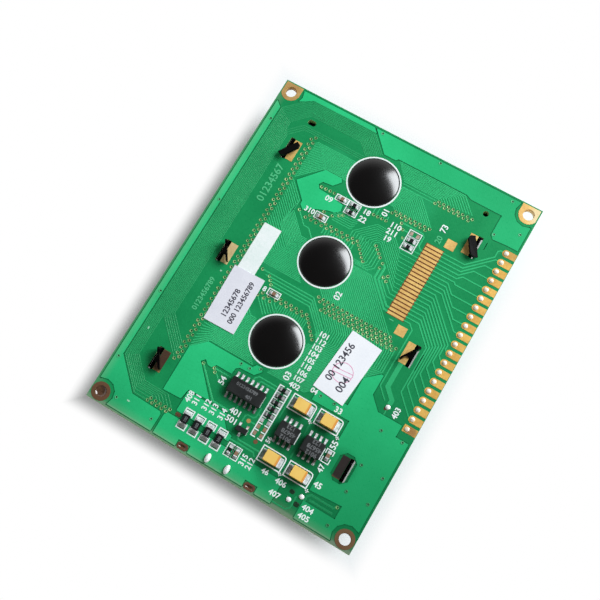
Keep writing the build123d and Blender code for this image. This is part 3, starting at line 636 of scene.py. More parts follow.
# Each has two tones, a roughness, a grain in cells a millimetre, its depth and a specular level
BLACK_STEEL = Moulded("blackened_steel", srgb(9, 8, 9), srgb(4, 3, 4), 0.34, 1.2, 0.01, 0.03, side_coat=0.35)
RESIN = Moulded("potting_resin", srgb(9, 7, 7), srgb(4, 3, 3), 0.2, 0.4, 0.004, 0.85)
INK = Moulded("white_ink", srgb(247, 251, 251), srgb(228, 242, 238), 0.55, 1.6, 0.01, 0.3)
PAPER = Moulded("label_paper", srgb(234, 234, 242), srgb(226, 226, 236), 0.62, 2.2, 0.01, 0.3)
CHECK_PAPER = Moulded("check_paper", srgb(247, 248, 252), srgb(240, 242, 248), 0.62, 2.2, 0.01, 0.3)
BLACK_MOULDING = Moulded("package_moulding", srgb(36, 38, 38), srgb(24, 26, 26), 0.5, 3.4, 0.02, 0.35)
BLACK_CERAMIC = Moulded("glazed_ceramic", srgb(32, 32, 35), srgb(16, 16, 19), 0.35, 2.0, 0.01, 0.4)
BROWN_CERAMIC = Moulded("capacitor_ceramic", srgb(158, 124, 100), srgb(128, 96, 76), 0.5, 2.5, 0.01, 0.4)
WHITE_PLASTIC = Moulded("frame_plastic", srgb(238, 238, 234), srgb(228, 228, 222), 0.45, 1.0, 0.01, 0.4)
LED_PACKAGE = Moulded("led_moulding", srgb(236, 234, 196), srgb(226, 222, 178), 0.3, 2.0, 0.005, 0.5)
WHITE_LAMINATE = Moulded("light_laminate", srgb(222, 226, 216), srgb(206, 212, 200), 0.45, 1.2, 0.01, 0.4)

CELL_GLASS = Glass("cell_glass", srgb(214, 226, 220))
FILM = Glass("polarizer_film", srgb(150, 164, 140), 0.12, 0.75)
RUBBER = StripedRubber("contact_rubber")
TANTALUM = TantalumResin("tantalum_moulding")
VIA_RIM = Plating("via_plating", light=srgb(186, 218, 152), dark=srgb(112, 176, 104), roughness=0.35)

# What the CAD nodes lack, in the same order of values
VIA_HOLE = Moulded("via_shadow", srgb(26, 92, 48), srgb(14, 68, 34), 0.6, 2.0)
DARK_INK = Moulded("label_ink", srgb(50, 48, 60), srgb(80, 78, 92), 0.6, 2.5)
STAMP_INK = Moulded("stamp_ink", srgb(222, 124, 170), srgb(236, 172, 204), 0.6, 2.5)
PACKAGE_INK = Moulded("package_ink", srgb(112, 114, 116), srgb(78, 80, 82), 0.6, 3.0)
# Dried flux; the same brown stands for painted shade inside the near left mounting hole and the anchor slots
FLUX_AND_SHADE_BROWN = Moulded("flux_and_shade_brown", srgb(116, 84, 60), srgb(70, 44, 32), 0.14, 1.4, 0.03, 0.9)
DARK_FLUX = Moulded("dark_flux", srgb(30, 62, 40), srgb(16, 34, 22), 0.3, 1.4, 0.05, 0.5)
PALE_RESIDUE = Moulded("pale_residue", srgb(176, 226, 196), srgb(140, 208, 170), 0.5, 2.0, 0.02, 0.3)
BARE_LAMINATE = Moulded("bare_laminate", srgb(126, 72, 26), srgb(96, 50, 16), 0.5, 2.0, 0.02, 0.3)
# A painted highlight: the slots' cut laminate, nearly white
SLOT_HIGHLIGHT = Moulded("painted_slot_highlight", srgb(240, 242, 236), srgb(206, 212, 200), 0.5, 2.0, 0.02, 0.4)

Finish = SolderMask | Plating | BareMetal | Moulded | TantalumResin | Glass | StripedRubber
SLOT_FINISHES: dict[str, Finish] = {
    "board_laminate": BOARD_GREEN,
    "pour_copper": POUR_GREEN,
    "trace_copper": TRACE_GREEN,
    "gold_plating": GOLD,
    "solder": SOLDER,
    "tinned_steel": TINNED,
    "black_steel": BLACK_STEEL,
    "black_resin": RESIN,
    "white_ink": INK,
    "paper_label": PAPER,
    "black_moulding": BLACK_MOULDING,
    "tantalum_resin": TANTALUM,
    "black_ceramic": BLACK_CERAMIC,
    "brown_ceramic": BROWN_CERAMIC,
    "cell_glass": CELL_GLASS,
    "polarizer_film": FILM,
    "grey_rubber": RUBBER,
    "white_plastic": WHITE_PLASTIC,
    "led_package": LED_PACKAGE,
    "light_board_laminate": WHITE_LAMINATE,
}
NODE_FINISHES: dict[str, Finish] = {"check_label": CHECK_PAPER, "tantalum_terminals": TERMINAL_TIN}


@cache
def material_of(finish: Finish) -> bpy.types.Material:
    """The material of a finish, made once."""
    return finish.material()


# Meshes


@dataclass
class Mould:
    """Collects vertices and faces of one piece, in millimetres."""

    name: str
    vertices: list[Place] = field(default_factory=list)
    faces: list[tuple[int, ...]] = field(default_factory=list)

    def add(self, vertices: Iterable[Sequence[float]], faces: Iterable[Sequence[int]]) -> None:
        """Adds a closed form.

        Args:
            vertices: Its points, in millimetres.
            faces: Its faces, each by its vertices' indices.
        """
        start = len(self.vertices)
        self.vertices.extend(tuple(vertex) for vertex in vertices)
        self.faces.extend(tuple(start + i for i in face) for face in faces)

    def rings(self, rings: Sequence[Sequence[Sequence[float]]], closed: bool = False) -> None:
        """Adds a skin over a stack of rings with equal counts.

        Args:
            rings: The rings' points, each running the same way round.
            closed: Whether the last ring joins the first, as in a tube that comes back.
        """
        count = len(rings[0])
        vertices = [point for ring in rings for point in ring]
        faces: list[tuple[int, ...]] = []
        stack = len(rings)
        for row in range(stack if closed else stack - 1):
            low, high = row * count, (row + 1) % stack * count
            for i in range(count):
                after = (i + 1) % count
                faces.append((low + i, low + after, high + after, high + i))
        if not closed:
            faces.append(tuple(reversed(range(count))))
            faces.append(tuple((stack - 1) * count + i for i in range(count)))
        self.add(vertices, faces)

    def plate(self, outline: Sequence[Point], low: float, high: float) -> None:
        """Adds an upright form with a flat outline, between two heights."""
        self.rings([[(x, y, z) for x, y in outline] for z in (low, high)])

    def collar(self, x: float, y: float, section: Sequence[Point], sides: int) -> None:
        """Adds a section, of radii and heights, turned round an upright line."""
        self.rings([circle(x, y, z, radius, sides) for radius, z in section], closed=True)

    def build(self, finish: Finish, slot: str, node: str = "", smooth: bool = False) -> None:
        """Makes the piece, on the module's one body, and reports it.

        Args:
            finish: Its finish.
            slot: The record's slot that the finish belongs to; not used.
            node: The CAD node that it replaces, if any.
            smooth: Whether the faces are shaded smoothly.
        """
        mesh = bpy.data.meshes.new(self.name)
        points = [tuple(part * MM for part in vertex) for vertex in self.vertices]
        mesh.from_pydata(points, [], self.faces)
        mesh.materials.append(material_of(finish))
        form = bmesh.new()
        form.from_mesh(mesh)
        bmesh.ops.recalc_face_normals(form, faces=form.faces)
        form.to_mesh(mesh)
        form.free()
        mesh.polygons.foreach_set("use_smooth", [smooth] * len(mesh.polygons))
        piece = bpy.data.objects.new(self.name, mesh)
        bpy.context.collection.objects.link(piece)
        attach(piece, "root")
        if node:
            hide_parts(node)
        log.info("%s: %d faces", self.name, len(self.faces))


def circle(x: float, y: float, z: float, radius: float, count: int) -> list[Place]:
    """The points of a level circle."""
    turns = [2 * math.pi * i / count for i in range(count)]
    return [(x + radius * math.cos(turn), y + radius * math.sin(turn), z) for turn in turns]


def wall_section(outer: float, inner: float, low: float, high: float, chamfer: float = 0.0) -> list[Point]:
    """The section of a round wall, as radii and heights, with its outer top edge set in."""
    return [(outer, low), (outer - chamfer, high), (inner, high), (inner, low)]


def oblong(left: float, near: float, right: float, far: float) -> list[Point]:
    """The corners of an upright rectangle."""
    return [(left, near), (right, near), (right, far), (left, far)]


def welded(node: str) -> bmesh.types.BMesh:
    """A copy of a CAD node's mesh with its doubled vertices joined.

    Args:
        node: The node's name.

    Returns:
        The mesh, which the caller frees.
    """
    form = bmesh.new()
    form.from_mesh(frame["nodes"][node].data)
    bmesh.ops.remove_doubles(form, verts=form.verts, dist=WELD)
    return form


def corners_of(node: str) -> tuple[Vector, Vector]:
    """The lowest and the highest corner of a CAD node, in millimetres."""
    low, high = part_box(node)
    return Vector(low) / MM, Vector(high) / MM


def height_of(node: str) -> float:
    """The top of a CAD node, in millimetres."""
    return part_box(node)[1][2] / MM


@dataclass(frozen=True)
class Island:
    """One solid of a CAD node: its lowest and highest corner, in millimetres."""

    low: Vector
    high: Vector

    @property
    def centre(self) -> Vector:
        """The middle of its box."""
        return (self.low + self.high) / 2

    @property
    def size(self) -> Vector:
        """The sizes of its box."""
        return self.high - self.low


def islands(node: str) -> list[Island]:
    """The separate solids of a CAD node, from the far left to the near right.

    Args:
        node: The node's name.

    Returns:
        One island for each solid.
    """
    form = welded(node)
    unseen = set(form.verts)
    found = []
    while unseen:
        todo = [unseen.pop()]
        reached = []
        while todo:
            vertex = todo.pop()
            reached.append(vertex.co / MM)
            for edge in vertex.link_edges:
                other = edge.other_vert(vertex)
                if other in unseen:
                    unseen.remove(other)
                    todo.append(other)
        low = Vector([min(point[i] for point in reached) for i in range(3)])
        high = Vector([max(point[i] for point in reached) for i in range(3)])
        found.append(Island(low, high))
    form.free()
    return sorted(found, key=lambda island: (round(-island.centre.y, 2), round(island.centre.x, 2)))


# Sub-assemblies


@dataclass
class ChipDomes:
    """Poured resin caps over the bare chips, smooth and a little steeper at their rims."""

    nodes: tuple[str, ...] = ("upper_chip_dome", "middle_chip_dome", "lower_chip_dome")
    sides: int = 96
    bands: int = 24
    fullness: float = 0.86
    spread: float = 0.1
    ring_width: float = 0.38
    ring_chamfer: float = 0.03

    def cap(self, node: str) -> None:
        """Builds one cap.

        Args:
            node: The CAD node that it replaces.
        """
        low, high = corners_of(node)
        x, y = (low.x + high.x) / 2, (low.y + high.y) / 2
        radius, height = (high.x - low.x) / 2 + self.spread, high.z - low.z
        mould = Mould(node.replace("chip_dome", "resin_cap"))
        rings = []
        for band in range(self.bands):
            share = 1 - band / self.bands
            rise = height * (1 - share**2) ** self.fullness
            rings.append(circle(x, y, low.z + rise, radius * share, self.sides))
        mould.rings(rings)
        mould.build(RESIN, "black_resin", node, smooth=True)

    def build(self) -> None:
        """Builds the caps and the printed rings round them."""
        for node in self.nodes:
            self.cap(node)
        mould = Mould("cap_rings")
        for island in islands("dome_rings"):
            outer = island.size.x / 2
            section = wall_section(
                outer, outer - self.ring_width, island.low.z, island.high.z, self.ring_chamfer
            )
            mould.collar(island.centre.x, island.centre.y, section, self.sides)
        mould.build(INK, "white_ink", "dome_rings")


@dataclass
class SolderWork:
    """Smooth beads of solder on the fingers, the jumpers and the backlight pins."""

    sides: int = 28
    bands: int = 8

    def bead(self, mould: Mould, island: Island) -> None:
        """Adds one bead.

        Args:
            mould: The piece that it is added to.
            island: The solid whose box it fills.
        """
        centre, half = island.centre, island.size / 2
        turns = [2 * math.pi * i / self.sides for i in range(self.sides)]
        rings = []
        for band in range(self.bands):
            share = band / self.bands
            spread = math.sqrt(1 - share**2)
            across, along = half.x * spread, half.y * spread
            z = island.low.z + island.size.z * share
            rings.append(
                [(centre.x + across * math.cos(turn), centre.y + along * math.sin(turn), z) for turn in turns]
            )
        mould.rings(rings)

    def build(self) -> None:
        """Builds the beads in place of their nodes."""
        for node, name, finish in (
            ("header_solder", "finger_beads", FINGER_SOLDER),
            ("jumper_solder", "jumper_beads", TERMINAL_TIN),
            ("backlight_solder", "pin_heaps", TERMINAL_TIN),
        ):
            mould = Mould(name)
            for island in islands(node):
                self.bead(mould, island)
            mould.build(finish, "solder", node, smooth=True)


@dataclass
class Fingers:
    """The gold edge fingers with smoothly rounded inner ends, all but the nearest."""

    sides: int = 16

    def outline(self, island: Island) -> list[Point]:
        """A finger's outline, square at the board's edge and round at its inner end.

        Args:
            island: The finger's solid.

        Returns:
            The outline's points.
        """
        low, high = island.low, island.high
        half = island.size.y / 2
        points = [(high.x, low.y), (high.x, high.y)]
        for step in range(self.sides + 1):
            turn = math.pi / 2 + math.pi * step / self.sides
            points.append((low.x + half + half * math.cos(turn), island.centre.y + half * math.sin(turn)))
        return points

    def build(self) -> None:
        """Builds the fingers in place of their node."""
        mould = Mould("rounded_fingers")
        *rounded, nearest = islands("edge_fingers")
        for island in rounded:
            mould.plate(self.outline(island), island.low.z, island.high.z)
        low, high = nearest.low, nearest.high
        mould.plate(oblong(low.x, low.y, high.x, high.y), low.z, high.z)
        mould.build(FINGER_GOLD, "gold_plating", "edge_fingers")


def fanned(first: Sequence[Point], last: Sequence[Point], count: int) -> list[list[Point]]:
    """Lines spaced evenly from a first to a last one.

    Args:
        first: The first line's points.
        last: The last line's points, as many.
        count: The number of lines.

    Returns:
        The lines.
    """
    lines = []
    for i in range(count):
        share = i / max(count - 1, 1)
        ends = zip(first, last)
        lines.append([(x0 + (x1 - x0) * share, y0 + (y1 - y0) * share) for (x0, y0), (x1, y1) in ends])
    return lines


@dataclass(frozen=True)
class Fan:
    """Traces spread evenly between a first and a last line, in millimetres from the board's centre."""

    count: int
    first: tuple[Point, ...]
    last: tuple[Point, ...] = ()
    width: float = 0.27


def shifted(line: Sequence[Point], distance: float) -> list[Point]:
    """A line moved to its left, with its bends kept sharp.

    Args:
        line: The line's points.
        distance: How far it moves, in millimetres.

    Returns:
        The moved points.
    """
    ways = []
    for (x0, y0), (x1, y1) in zip(line, line[1:]):
        length = math.hypot(x1 - x0, y1 - y0)
        ways.append(((x1 - x0) / length, (y1 - y0) / length))
    moved = []
    for i, (x, y) in enumerate(line):
        before, after = ways[max(i - 1, 0)], ways[min(i, len(ways) - 1)]
        nx, ny = -(before[1] + after[1]) / 2, (before[0] + after[0]) / 2
        scale = distance / (nx * nx + ny * ny)
        moved.append((x + nx * scale, y + ny * scale))
    return moved


def ribbon(
    mould: Mould, line: Sequence[Point], width: float, base: float, height: float, slope: float = 0.0
) -> None:
    """Adds a low strip along a line.

    Args:
        mould: The piece that it is added to.
        line: The strip's middle, in millimetres.
        width: Its width at the foot.
        base: The height that it lies on.
        height: Its own height.
        slope: How far each side leans in.
    """
    half = width / 2
    top = base + height
    section = [(half, base), (half - slope, top), (slope - half, top), (-half, base)]
    strings = [[(x, y, z) for x, y in shifted(line, offset)] for offset, z in section]
    mould.rings([list(ring) for ring in zip(*strings)])


@dataclass
class TraceFields:
    """Fine traces under the mask, as low ribbons with sloping sides."""

    name: str
    mask: SolderMask
    fans: tuple[Fan, ...]
    height: float = 0.04
    slope: float = 0.05

    def build(self) -> None:
        """Builds the traces as one piece."""
        mould = Mould(self.name)
        base = height_of("circuit_board")
        for fan in self.fans:
            for line in fanned(fan.first, fan.last or fan.first, fan.count):
                ribbon(mould, line, fan.width, base, self.height, self.slope)
        mould.build(self.mask, "trace_copper")


@dataclass
class PourOutlines:
    """Darker green strips along the feet of the copper pours."""

    width: float = 0.44
    height: float = 0.008
    shortest: float = 0.02
    level: float = 0.9

    def build(self) -> None:
        """Builds a flat strip along each edge of the pours' tops."""
        mould = Mould("pour_outlines")
        base = height_of("circuit_board")
        form = welded("copper_pours")
        for edge in form.edges:
            tops = [face for face in edge.link_faces if face.normal.z > self.level]
            ends = [(vertex.co.x / MM, vertex.co.y / MM) for vertex in edge.verts]
            if len(tops) == 1 and math.dist(*ends) > self.shortest:
                ribbon(mould, ends, self.width, base, self.height)
        form.free()
        mould.build(OUTLINE_GREEN, "board_laminate")


@dataclass
class LandOpening:
    """The opening in the mask round the connector land, where the brown laminate shows."""

    margin_x: float = 0.22
    margin_y: float = 0.16
    height: float = 0.012

    def build(self) -> None:
        """Builds the bare strip under the land's stripes."""
        mould = Mould("land_opening")
        low, high = corners_of("connector_land")
        base = height_of("circuit_board")
        outline = oblong(
            low.x - self.margin_x, low.y - self.margin_y, high.x + self.margin_x, high.y + self.margin_y
        )
        mould.plate(outline, base, base + self.height)
        mould.build(BARE_LAMINATE, "board_laminate")


@dataclass
class Vias:
    """Small plated holes under the mask: a pale raised rim round a dark hole.

    Each row of vias has a count, a first and a last place.
    """

    rows: tuple[tuple[int, Point, Point], ...]
    lone: tuple[Point, ...]
    stitches: tuple[Point, ...]
    radius: float = 0.42
    stitch_radius: float = 0.44
    rim_slope: float = 0.05
    hole: float = 0.24
    hole_slope: float = 0.03
    hole_rise: float = 0.3
    offset: Point = (0.06, 0.08)
    sides: int = 12
    rise: float = 0.05

    def build(self) -> None:
        """Builds the rims as two pieces and the dark holes as another."""
        rims, masked, holes = Mould("via_rims"), Mould("stitch_rims"), Mould("via_holes")
        board, pour = height_of("circuit_board"), height_of("copper_pours")
        found = [line[0] for count, first, last in self.rows for line in fanned([first], [last], count)]
        places = [(rims, x, y, board, self.radius) for x, y in (*found, *self.lone)]
        places += [(masked, x, y, pour, self.stitch_radius) for x, y in self.stitches]
        for mould, x, y, base, radius in places:
            inner_x, inner_y = x + self.offset[0], y + self.offset[1]
            top = base + self.rise
            wall = (
                (x, y, base, radius),
                (x, y, top, radius - self.rim_slope),
                (inner_x, inner_y, top, self.hole + self.hole_slope),
                (inner_x, inner_y, base, self.hole),
            )
            mould.rings([circle(*level, self.sides) for level in wall], closed=True)
            levels = (base, base + self.rise * self.hole_rise)
            holes.rings([circle(inner_x, inner_y, z, self.hole, self.sides) for z in levels])
        rims.build(VIA_RIM, "gold_plating", smooth=True)
        masked.build(ETCHED, "pour_copper", smooth=True)
        holes.build(VIA_HOLE, "board_laminate")


@dataclass(frozen=True)
class Mark:
    """A plain number printed at a place, in millimetres, turned by degrees."""

    text: str
    x: float
    y: float
    turn: float = 0.0
    height: float = 1.45


def marks(turn: float, height: float, *rows: tuple[str, float, float]) -> tuple[Mark, ...]:
    """Numbers with one turn and height, each row a text and its place."""
    return tuple(Mark(text, x, y, turn, height) for text, x, y in rows)


@dataclass
class PrintedNumbers:
    """Plain numbers in one ink on top of a node, all on one level."""

    name: str
    ink: Moulded | SolderMask
    slot: str
    node: str
    marks: tuple[Mark, ...]
    thickness: float = 0.01
    weight: float = 0.035
    half_depth: float = 0.5
    curve_steps: int = 3

    def build(self) -> None:
        """Builds all numbers as one piece."""
        mould = Mould(self.name)
        base = height_of(self.node)
        for mark in self.marks:
            self.letter(mould, mark, base)
        mould.build(self.ink, self.slot)

    def letter(self, mould: Mould, mark: Mark, base: float) -> None:
        """Adds one number.

        Args:
            mould: The piece that it is added to.
            mark: Its text, place, turn and height.
            base: The level that it stands on, in millimetres.
        """
        curve = bpy.data.curves.new("number", "FONT")
        curve.body = mark.text
        curve.align_x = "CENTER"
        curve.resolution_u = self.curve_steps
        curve.offset = self.weight / mark.height
        curve.extrude = self.half_depth
        thing = bpy.data.objects.new("number", curve)
        mesh = bpy.data.meshes.new_from_object(thing)
        low = min(vertex.co.y for vertex in mesh.vertices)
        high = max(vertex.co.y for vertex in mesh.vertices)
        scale = mark.height / (high - low)
        turn = Matrix.Rotation(math.radians(mark.turn), 3, "Z")
        centre = Vector((mark.x, mark.y, base))
        points = []
        for vertex in mesh.vertices:
            level = self.thickness if vertex.co.z > 0 else 0.0
            flat = Vector((vertex.co.x * scale, (vertex.co.y - (low + high) / 2) * scale, level))
            points.append(turn @ flat + centre)
        mould.add(points, [tuple(polygon.vertices) for polygon in mesh.polygons])
        bpy.data.objects.remove(thing)
        bpy.data.curves.remove(curve)
        bpy.data.meshes.remove(mesh)


@dataclass
class PrintedLines:
    """Thin white lines and frames printed round the small parts."""

    lines: tuple[tuple[Point, ...], ...]
    frames: tuple[tuple[float, float, float, float], ...]
    width: float = 0.22
    thickness: float = 0.02

    def build(self) -> None:
        """Builds all lines as one piece."""
        mould = Mould("printed_lines")
        base = height_of("copper_pours")
        for line in self.lines:
            ribbon(mould, line, self.width, base, self.thickness)
        for left, near, right, far in self.frames:
            loops = []
            for inset, z in wall_section(0.0, self.width, base, base + self.thickness):
                outline = oblong(left + inset, near + inset, right - inset, far - inset)
                loops.append([(x, y, z) for x, y in outline])
            mould.rings(loops, closed=True)
        mould.build(INK, "white_ink")


@dataclass
class StampRing:
    """A faint rubber stamp on the inspection label: a ring with two bars across it."""

    x: float = 13.6
    y: float = -11.6
    radius: float = 2.5
    width: float = 0.16
    thickness: float = 0.01
    sides: int = 64
    bar_share: float = 0.92
    bar_shift: float = 0.5
    bar_tilt: float = 0.2

    def build(self) -> None:
        """Builds the stamp."""
        mould = Mould("label_stamp")
        base = height_of("check_label")
        section = wall_section(self.radius, self.radius - self.width, base, base + self.thickness)
        mould.collar(self.x, self.y, section, self.sides)
        reach = self.radius * self.bar_share
        for shift in (-self.bar_shift, self.bar_shift):
            left, right = self.y + shift - self.bar_tilt, self.y + shift + self.bar_tilt
            line = ((self.x - reach, left), (self.x + reach, right))
            ribbon(mould, line, self.width, base, self.thickness)
        mould.build(STAMP_INK, "paper_label")


@dataclass(frozen=True)
class Film:
    """A film of dried flux, inside the holes partly painted shade: its middle, half sizes, depth below the
    board's top, dish and outline's power.
    """

    x: float
    y: float
    half_x: float
    half_y: float
    depth: float = 0.0
    dish: float = 0.0
    power: float = 0.6

    def outline(self, share: float, z: float, sides: int) -> list[Place]:
        """The film's edge, between an ellipse and a box.

        Args:
            share: The share of its size.
            z: Its level, in millimetres.
            sides: The number of its points.

        Returns:
            The points.
        """
        points = []
        for step in range(sides):
            turn = 2 * math.pi * step / sides
            cosine, sine = math.cos(turn), math.sin(turn)
            across = math.copysign(abs(cosine) ** self.power, cosine) * self.half_x * share
            along = math.copysign(abs(sine) ** self.power, sine) * self.half_y * share
            points.append((self.x + across, self.y + along, z))
        return points


@dataclass
class FluxAndShadeFilms:
    """Films of one tone on the board, and in the anchor slots where it says so: dried flux, which inside the
    holes is partly painted shade.
    """

    name: str
    tone: Moulded
    films: tuple[Film, ...]
    in_slots: bool = False
    rim: float = 0.4
    slot_depth: float = 0.08
    slot_dish: float = 0.3
    sides: int = 28
    thickness: float = 0.03
    shares: tuple[float, ...] = (1.0, 0.92, 0.8, 0.66, 0.5, 0.3)

    def slot_film(self, island: Island) -> Film:
        """The film inside an anchor slot's rim: dried flux, and painted shade standing for the shaded floor
        seen through the slot.

        Args:
            island: The rim's solid.

        Returns:
            The film.
        """
        centre, half = island.centre, island.size / 2
        size = (half.x - self.rim, half.y - self.rim)
        return Film(centre.x, centre.y, *size, self.slot_depth, self.slot_dish)

    def build(self) -> None:
        """Builds all films as one piece."""
        mould = Mould(self.name)
        top = height_of("circuit_board")
        found = islands("anchor_rims") if self.in_slots else []
        for film in (*self.films, *map(self.slot_film, found)):
            low, high = top - film.depth - self.thickness, top - film.depth + self.thickness
            levels = [(self.shares[-1], low - film.dish), (1.0, low)]
            levels += [(share, high - film.dish * (1 - share**2)) for share in self.shares]
            mould.rings([film.outline(share, z, self.sides) for share, z in levels])
        mould.build(self.tone, "board_laminate", smooth=True)


@dataclass
class HoleBarrels:
    """The plated walls of the four mounting holes."""

    across: float = 32.5
    along: float = 44.0
    radius: float = 1.4
    wall: float = 0.04
    sides: int = 48

    def build(self) -> None:
        """Builds the barrels."""
        mould = Mould("hole_barrels")
        low, high = corners_of("circuit_board")
        section = wall_section(self.radius, self.radius - self.wall, low.z, high.z)
        for x in (-self.across, self.across):
            for y in (-self.along, self.along):
                mould.collar(x, y, section, self.sides)
        mould.build(GOLD, "gold_plating", smooth=True)


@dataclass
class SlotHighlights:
    """The cut edge of the laminate at the outer side of the right-hand slots, painted nearly white as a
    highlight.
    """

    spans: tuple[Point, ...] = ((31.0, 33.0), (-2.7, 1.5), (-33.0, -29.5))
    clearance: float = 0.35
    width: float = 0.16
    depth: float = 0.5

    def build(self) -> None:
        """Builds the painted highlights against the slots' walls."""
        mould = Mould("painted_slot_highlights")
        wall = corners_of("bezel")[1].x + self.clearance
        base = height_of("circuit_board")
        for near, far in self.spans:
            mould.plate(oblong(wall - self.width, near, wall, far), base - self.depth, base)
        mould.build(SLOT_HIGHLIGHT, "board_laminate")


@dataclass
class SoftEdges:
    """Small bevels on the CAD nodes whose edges are rounded on the real pieces, by their width."""

    widths: dict[float, tuple[str, ...]]
    weld: float = 0.001
    segments: int = 2
    sharp_angle: float = 40.0

    def build(self) -> None:
        """Adds the bevels."""
        for width, nodes in self.widths.items():
            for node in nodes:
                thing = frame["nodes"][node]
                thing.modifiers.new("weld", "WELD").merge_threshold = self.weld * MM
                bevel = thing.modifiers.new("bevel", "BEVEL")
                bevel.width = width * MM
                bevel.segments = self.segments
                bevel.limit_method = "ANGLE"
                bevel.angle_limit = math.radians(self.sharp_angle)
            log.info("soft edges of %.2f mm: %d nodes", width, len(nodes))


# The studio


@dataclass
class PhotoCamera:
    """The camera's place and lens, worked out from the board's corners in the photograph."""

    turns: tuple[float, float, float] = (-0.19294122, -0.19549089, -0.52180571)
    shift: Place = (27.845970, -2.400995, -254.910298)
    focal_length: float = 1039.1243
    lens_centre: Point = (-98.66641, 3.884121)
    frame_width: float = 600.0
    sensor: float = 36.0
    nearest: float = 0.01

    def build(self) -> None:
        """Makes the camera and sets it as the scene's own."""
        rx, ry, rz = (Matrix.Rotation(turn, 3, axis) for turn, axis in zip(self.turns, "XYZ"))
        back = (rz @ ry @ rx).transposed()
        data = bpy.data.cameras.new("camera")
        data.sensor_width = self.sensor
        data.lens = self.sensor * self.focal_length / self.frame_width
        data.shift_x = -self.lens_centre[0] / self.frame_width
        data.shift_y = self.lens_centre[1] / self.frame_width
        data.clip_start = self.nearest
        camera = bpy.data.objects.new("camera", data)
        camera.matrix_world = Matrix.Translation(-(back @ Vector(self.shift)) * MM) @ back.to_4x4()
        bpy.context.collection.objects.link(camera)
        bpy.context.scene.camera = camera


class Lamp(Enum):
    """The studio's area lamps: place, width and height in metres, and power in watts."""

    SOFTBOX = ((0.317, 0.448, 0.409), (0.5, 0.32), 6.35)


@dataclass
class Studio:
    """A plain pale floor, one wide softbox and a pale horizon."""

    floor_side: float = 6.0
    floor_tone: Colour = srgb(246, 246, 248)
    floor_light: Colour = srgb(250, 250, 251)
    white: Colour = srgb(255, 255, 255)
    lamp_tint: tuple[float, float, float] = (0.93, 0.975, 1.0)
    horizon: float = 0.85
    zenith: float = 0.06
    rise: tuple[float, float] = (0.3, 0.75)
    shadow_middle: Point = (-0.9, 2.3)
    shadow_half: Point = (36.3, 48.3)
    shadow_edge: tuple[float, float] = (0.0, 5.0)
    shadow_lift: float = 0.13

    def floor(self) -> None:
        """Builds the floor, which turns plain white away from the module's shadow."""
        shader = Shader("floor")
        cloud = shader.noise(0.01, 2)
        tone = shader.mix(cloud, self.floor_tone, self.floor_light)
        diffuse = shader.node("ShaderNodeBsdfDiffuse", inputs={"Color": tone})
        glow = shader.node("ShaderNodeEmission", inputs={"Color": self.white, "Strength": 1.0})
        seen = Value(shader, shader.node("ShaderNodeLightPath").outputs["Is Camera Ray"])
        x, y, _ = shader.parts(shader.place())
        across = (x - self.shadow_middle[0]).size() - self.shadow_half[0]
        along = (y - self.shadow_middle[1]).size() - self.shadow_half[1]
        away = across.most(along).between(*self.shadow_edge)
        away = away * (1 - self.shadow_lift) + self.shadow_lift
        mixed = shader.node("ShaderNodeMixShader", inputs={0: seen * away})
        shader.tree.links.new(diffuse.outputs[0], mixed.inputs[1])
        shader.tree.links.new(glow.outputs[0], mixed.inputs[2])
        shader.tree.links.new(mixed.outputs[0], shader.output.inputs["Surface"])
        half = self.floor_side / 2
        mesh = bpy.data.meshes.new("floor")
        corners = [(x, y, 0.0) for x, y in oblong(-half, -half, half, half)]
        mesh.from_pydata(corners, [], [(0, 1, 2, 3)])
        mesh.materials.append(shader.owner)
        floor = bpy.data.objects.new("floor", mesh)
        bpy.context.collection.objects.link(floor)

    def lamps(self) -> None:
        """Hangs the lamps, each turned towards the module."""
        for lamp in Lamp:
            place, (width, height), power = lamp.value
            data = bpy.data.lights.new(lamp.name.lower(), "AREA")
            data.shape = "RECTANGLE"
            data.size = width
            data.size_y = height
            data.energy = power
            data.color = self.lamp_tint
            item = bpy.data.objects.new(lamp.name.lower(), data)
            item.location = place
            item.rotation_euler = Vector(place).to_track_quat("Z", "Y").to_euler()
            bpy.context.collection.objects.link(item)

    def heaven(self) -> None:
        """Makes a world that is pale round the horizon and dark overhead."""
        sky = Shader("sky", world=True)
        bpy.context.scene.world = sky.owner
        way = Value(sky, sky.node("ShaderNodeTexCoord").outputs["Generated"])
        low, high = ((level, level, level, 1.0) for level in (self.horizon, self.zenith))
        colour = sky.mix(sky.parts(way)[2].between(*self.rise), low, high)
        back = sky.node("ShaderNodeBackground", inputs={"Color": colour, "Strength": 1.0})
        sky.tree.links.new(back.outputs[0], sky.output.inputs["Surface"])

    def build(self) -> None:
        """Builds the studio and the camera."""
        bpy.context.scene.view_settings.view_transform = "Standard"
        PhotoCamera().build()
        self.floor()
        self.lamps()
        self.heaven()
        log.info("studio ready")


# What lies on the board

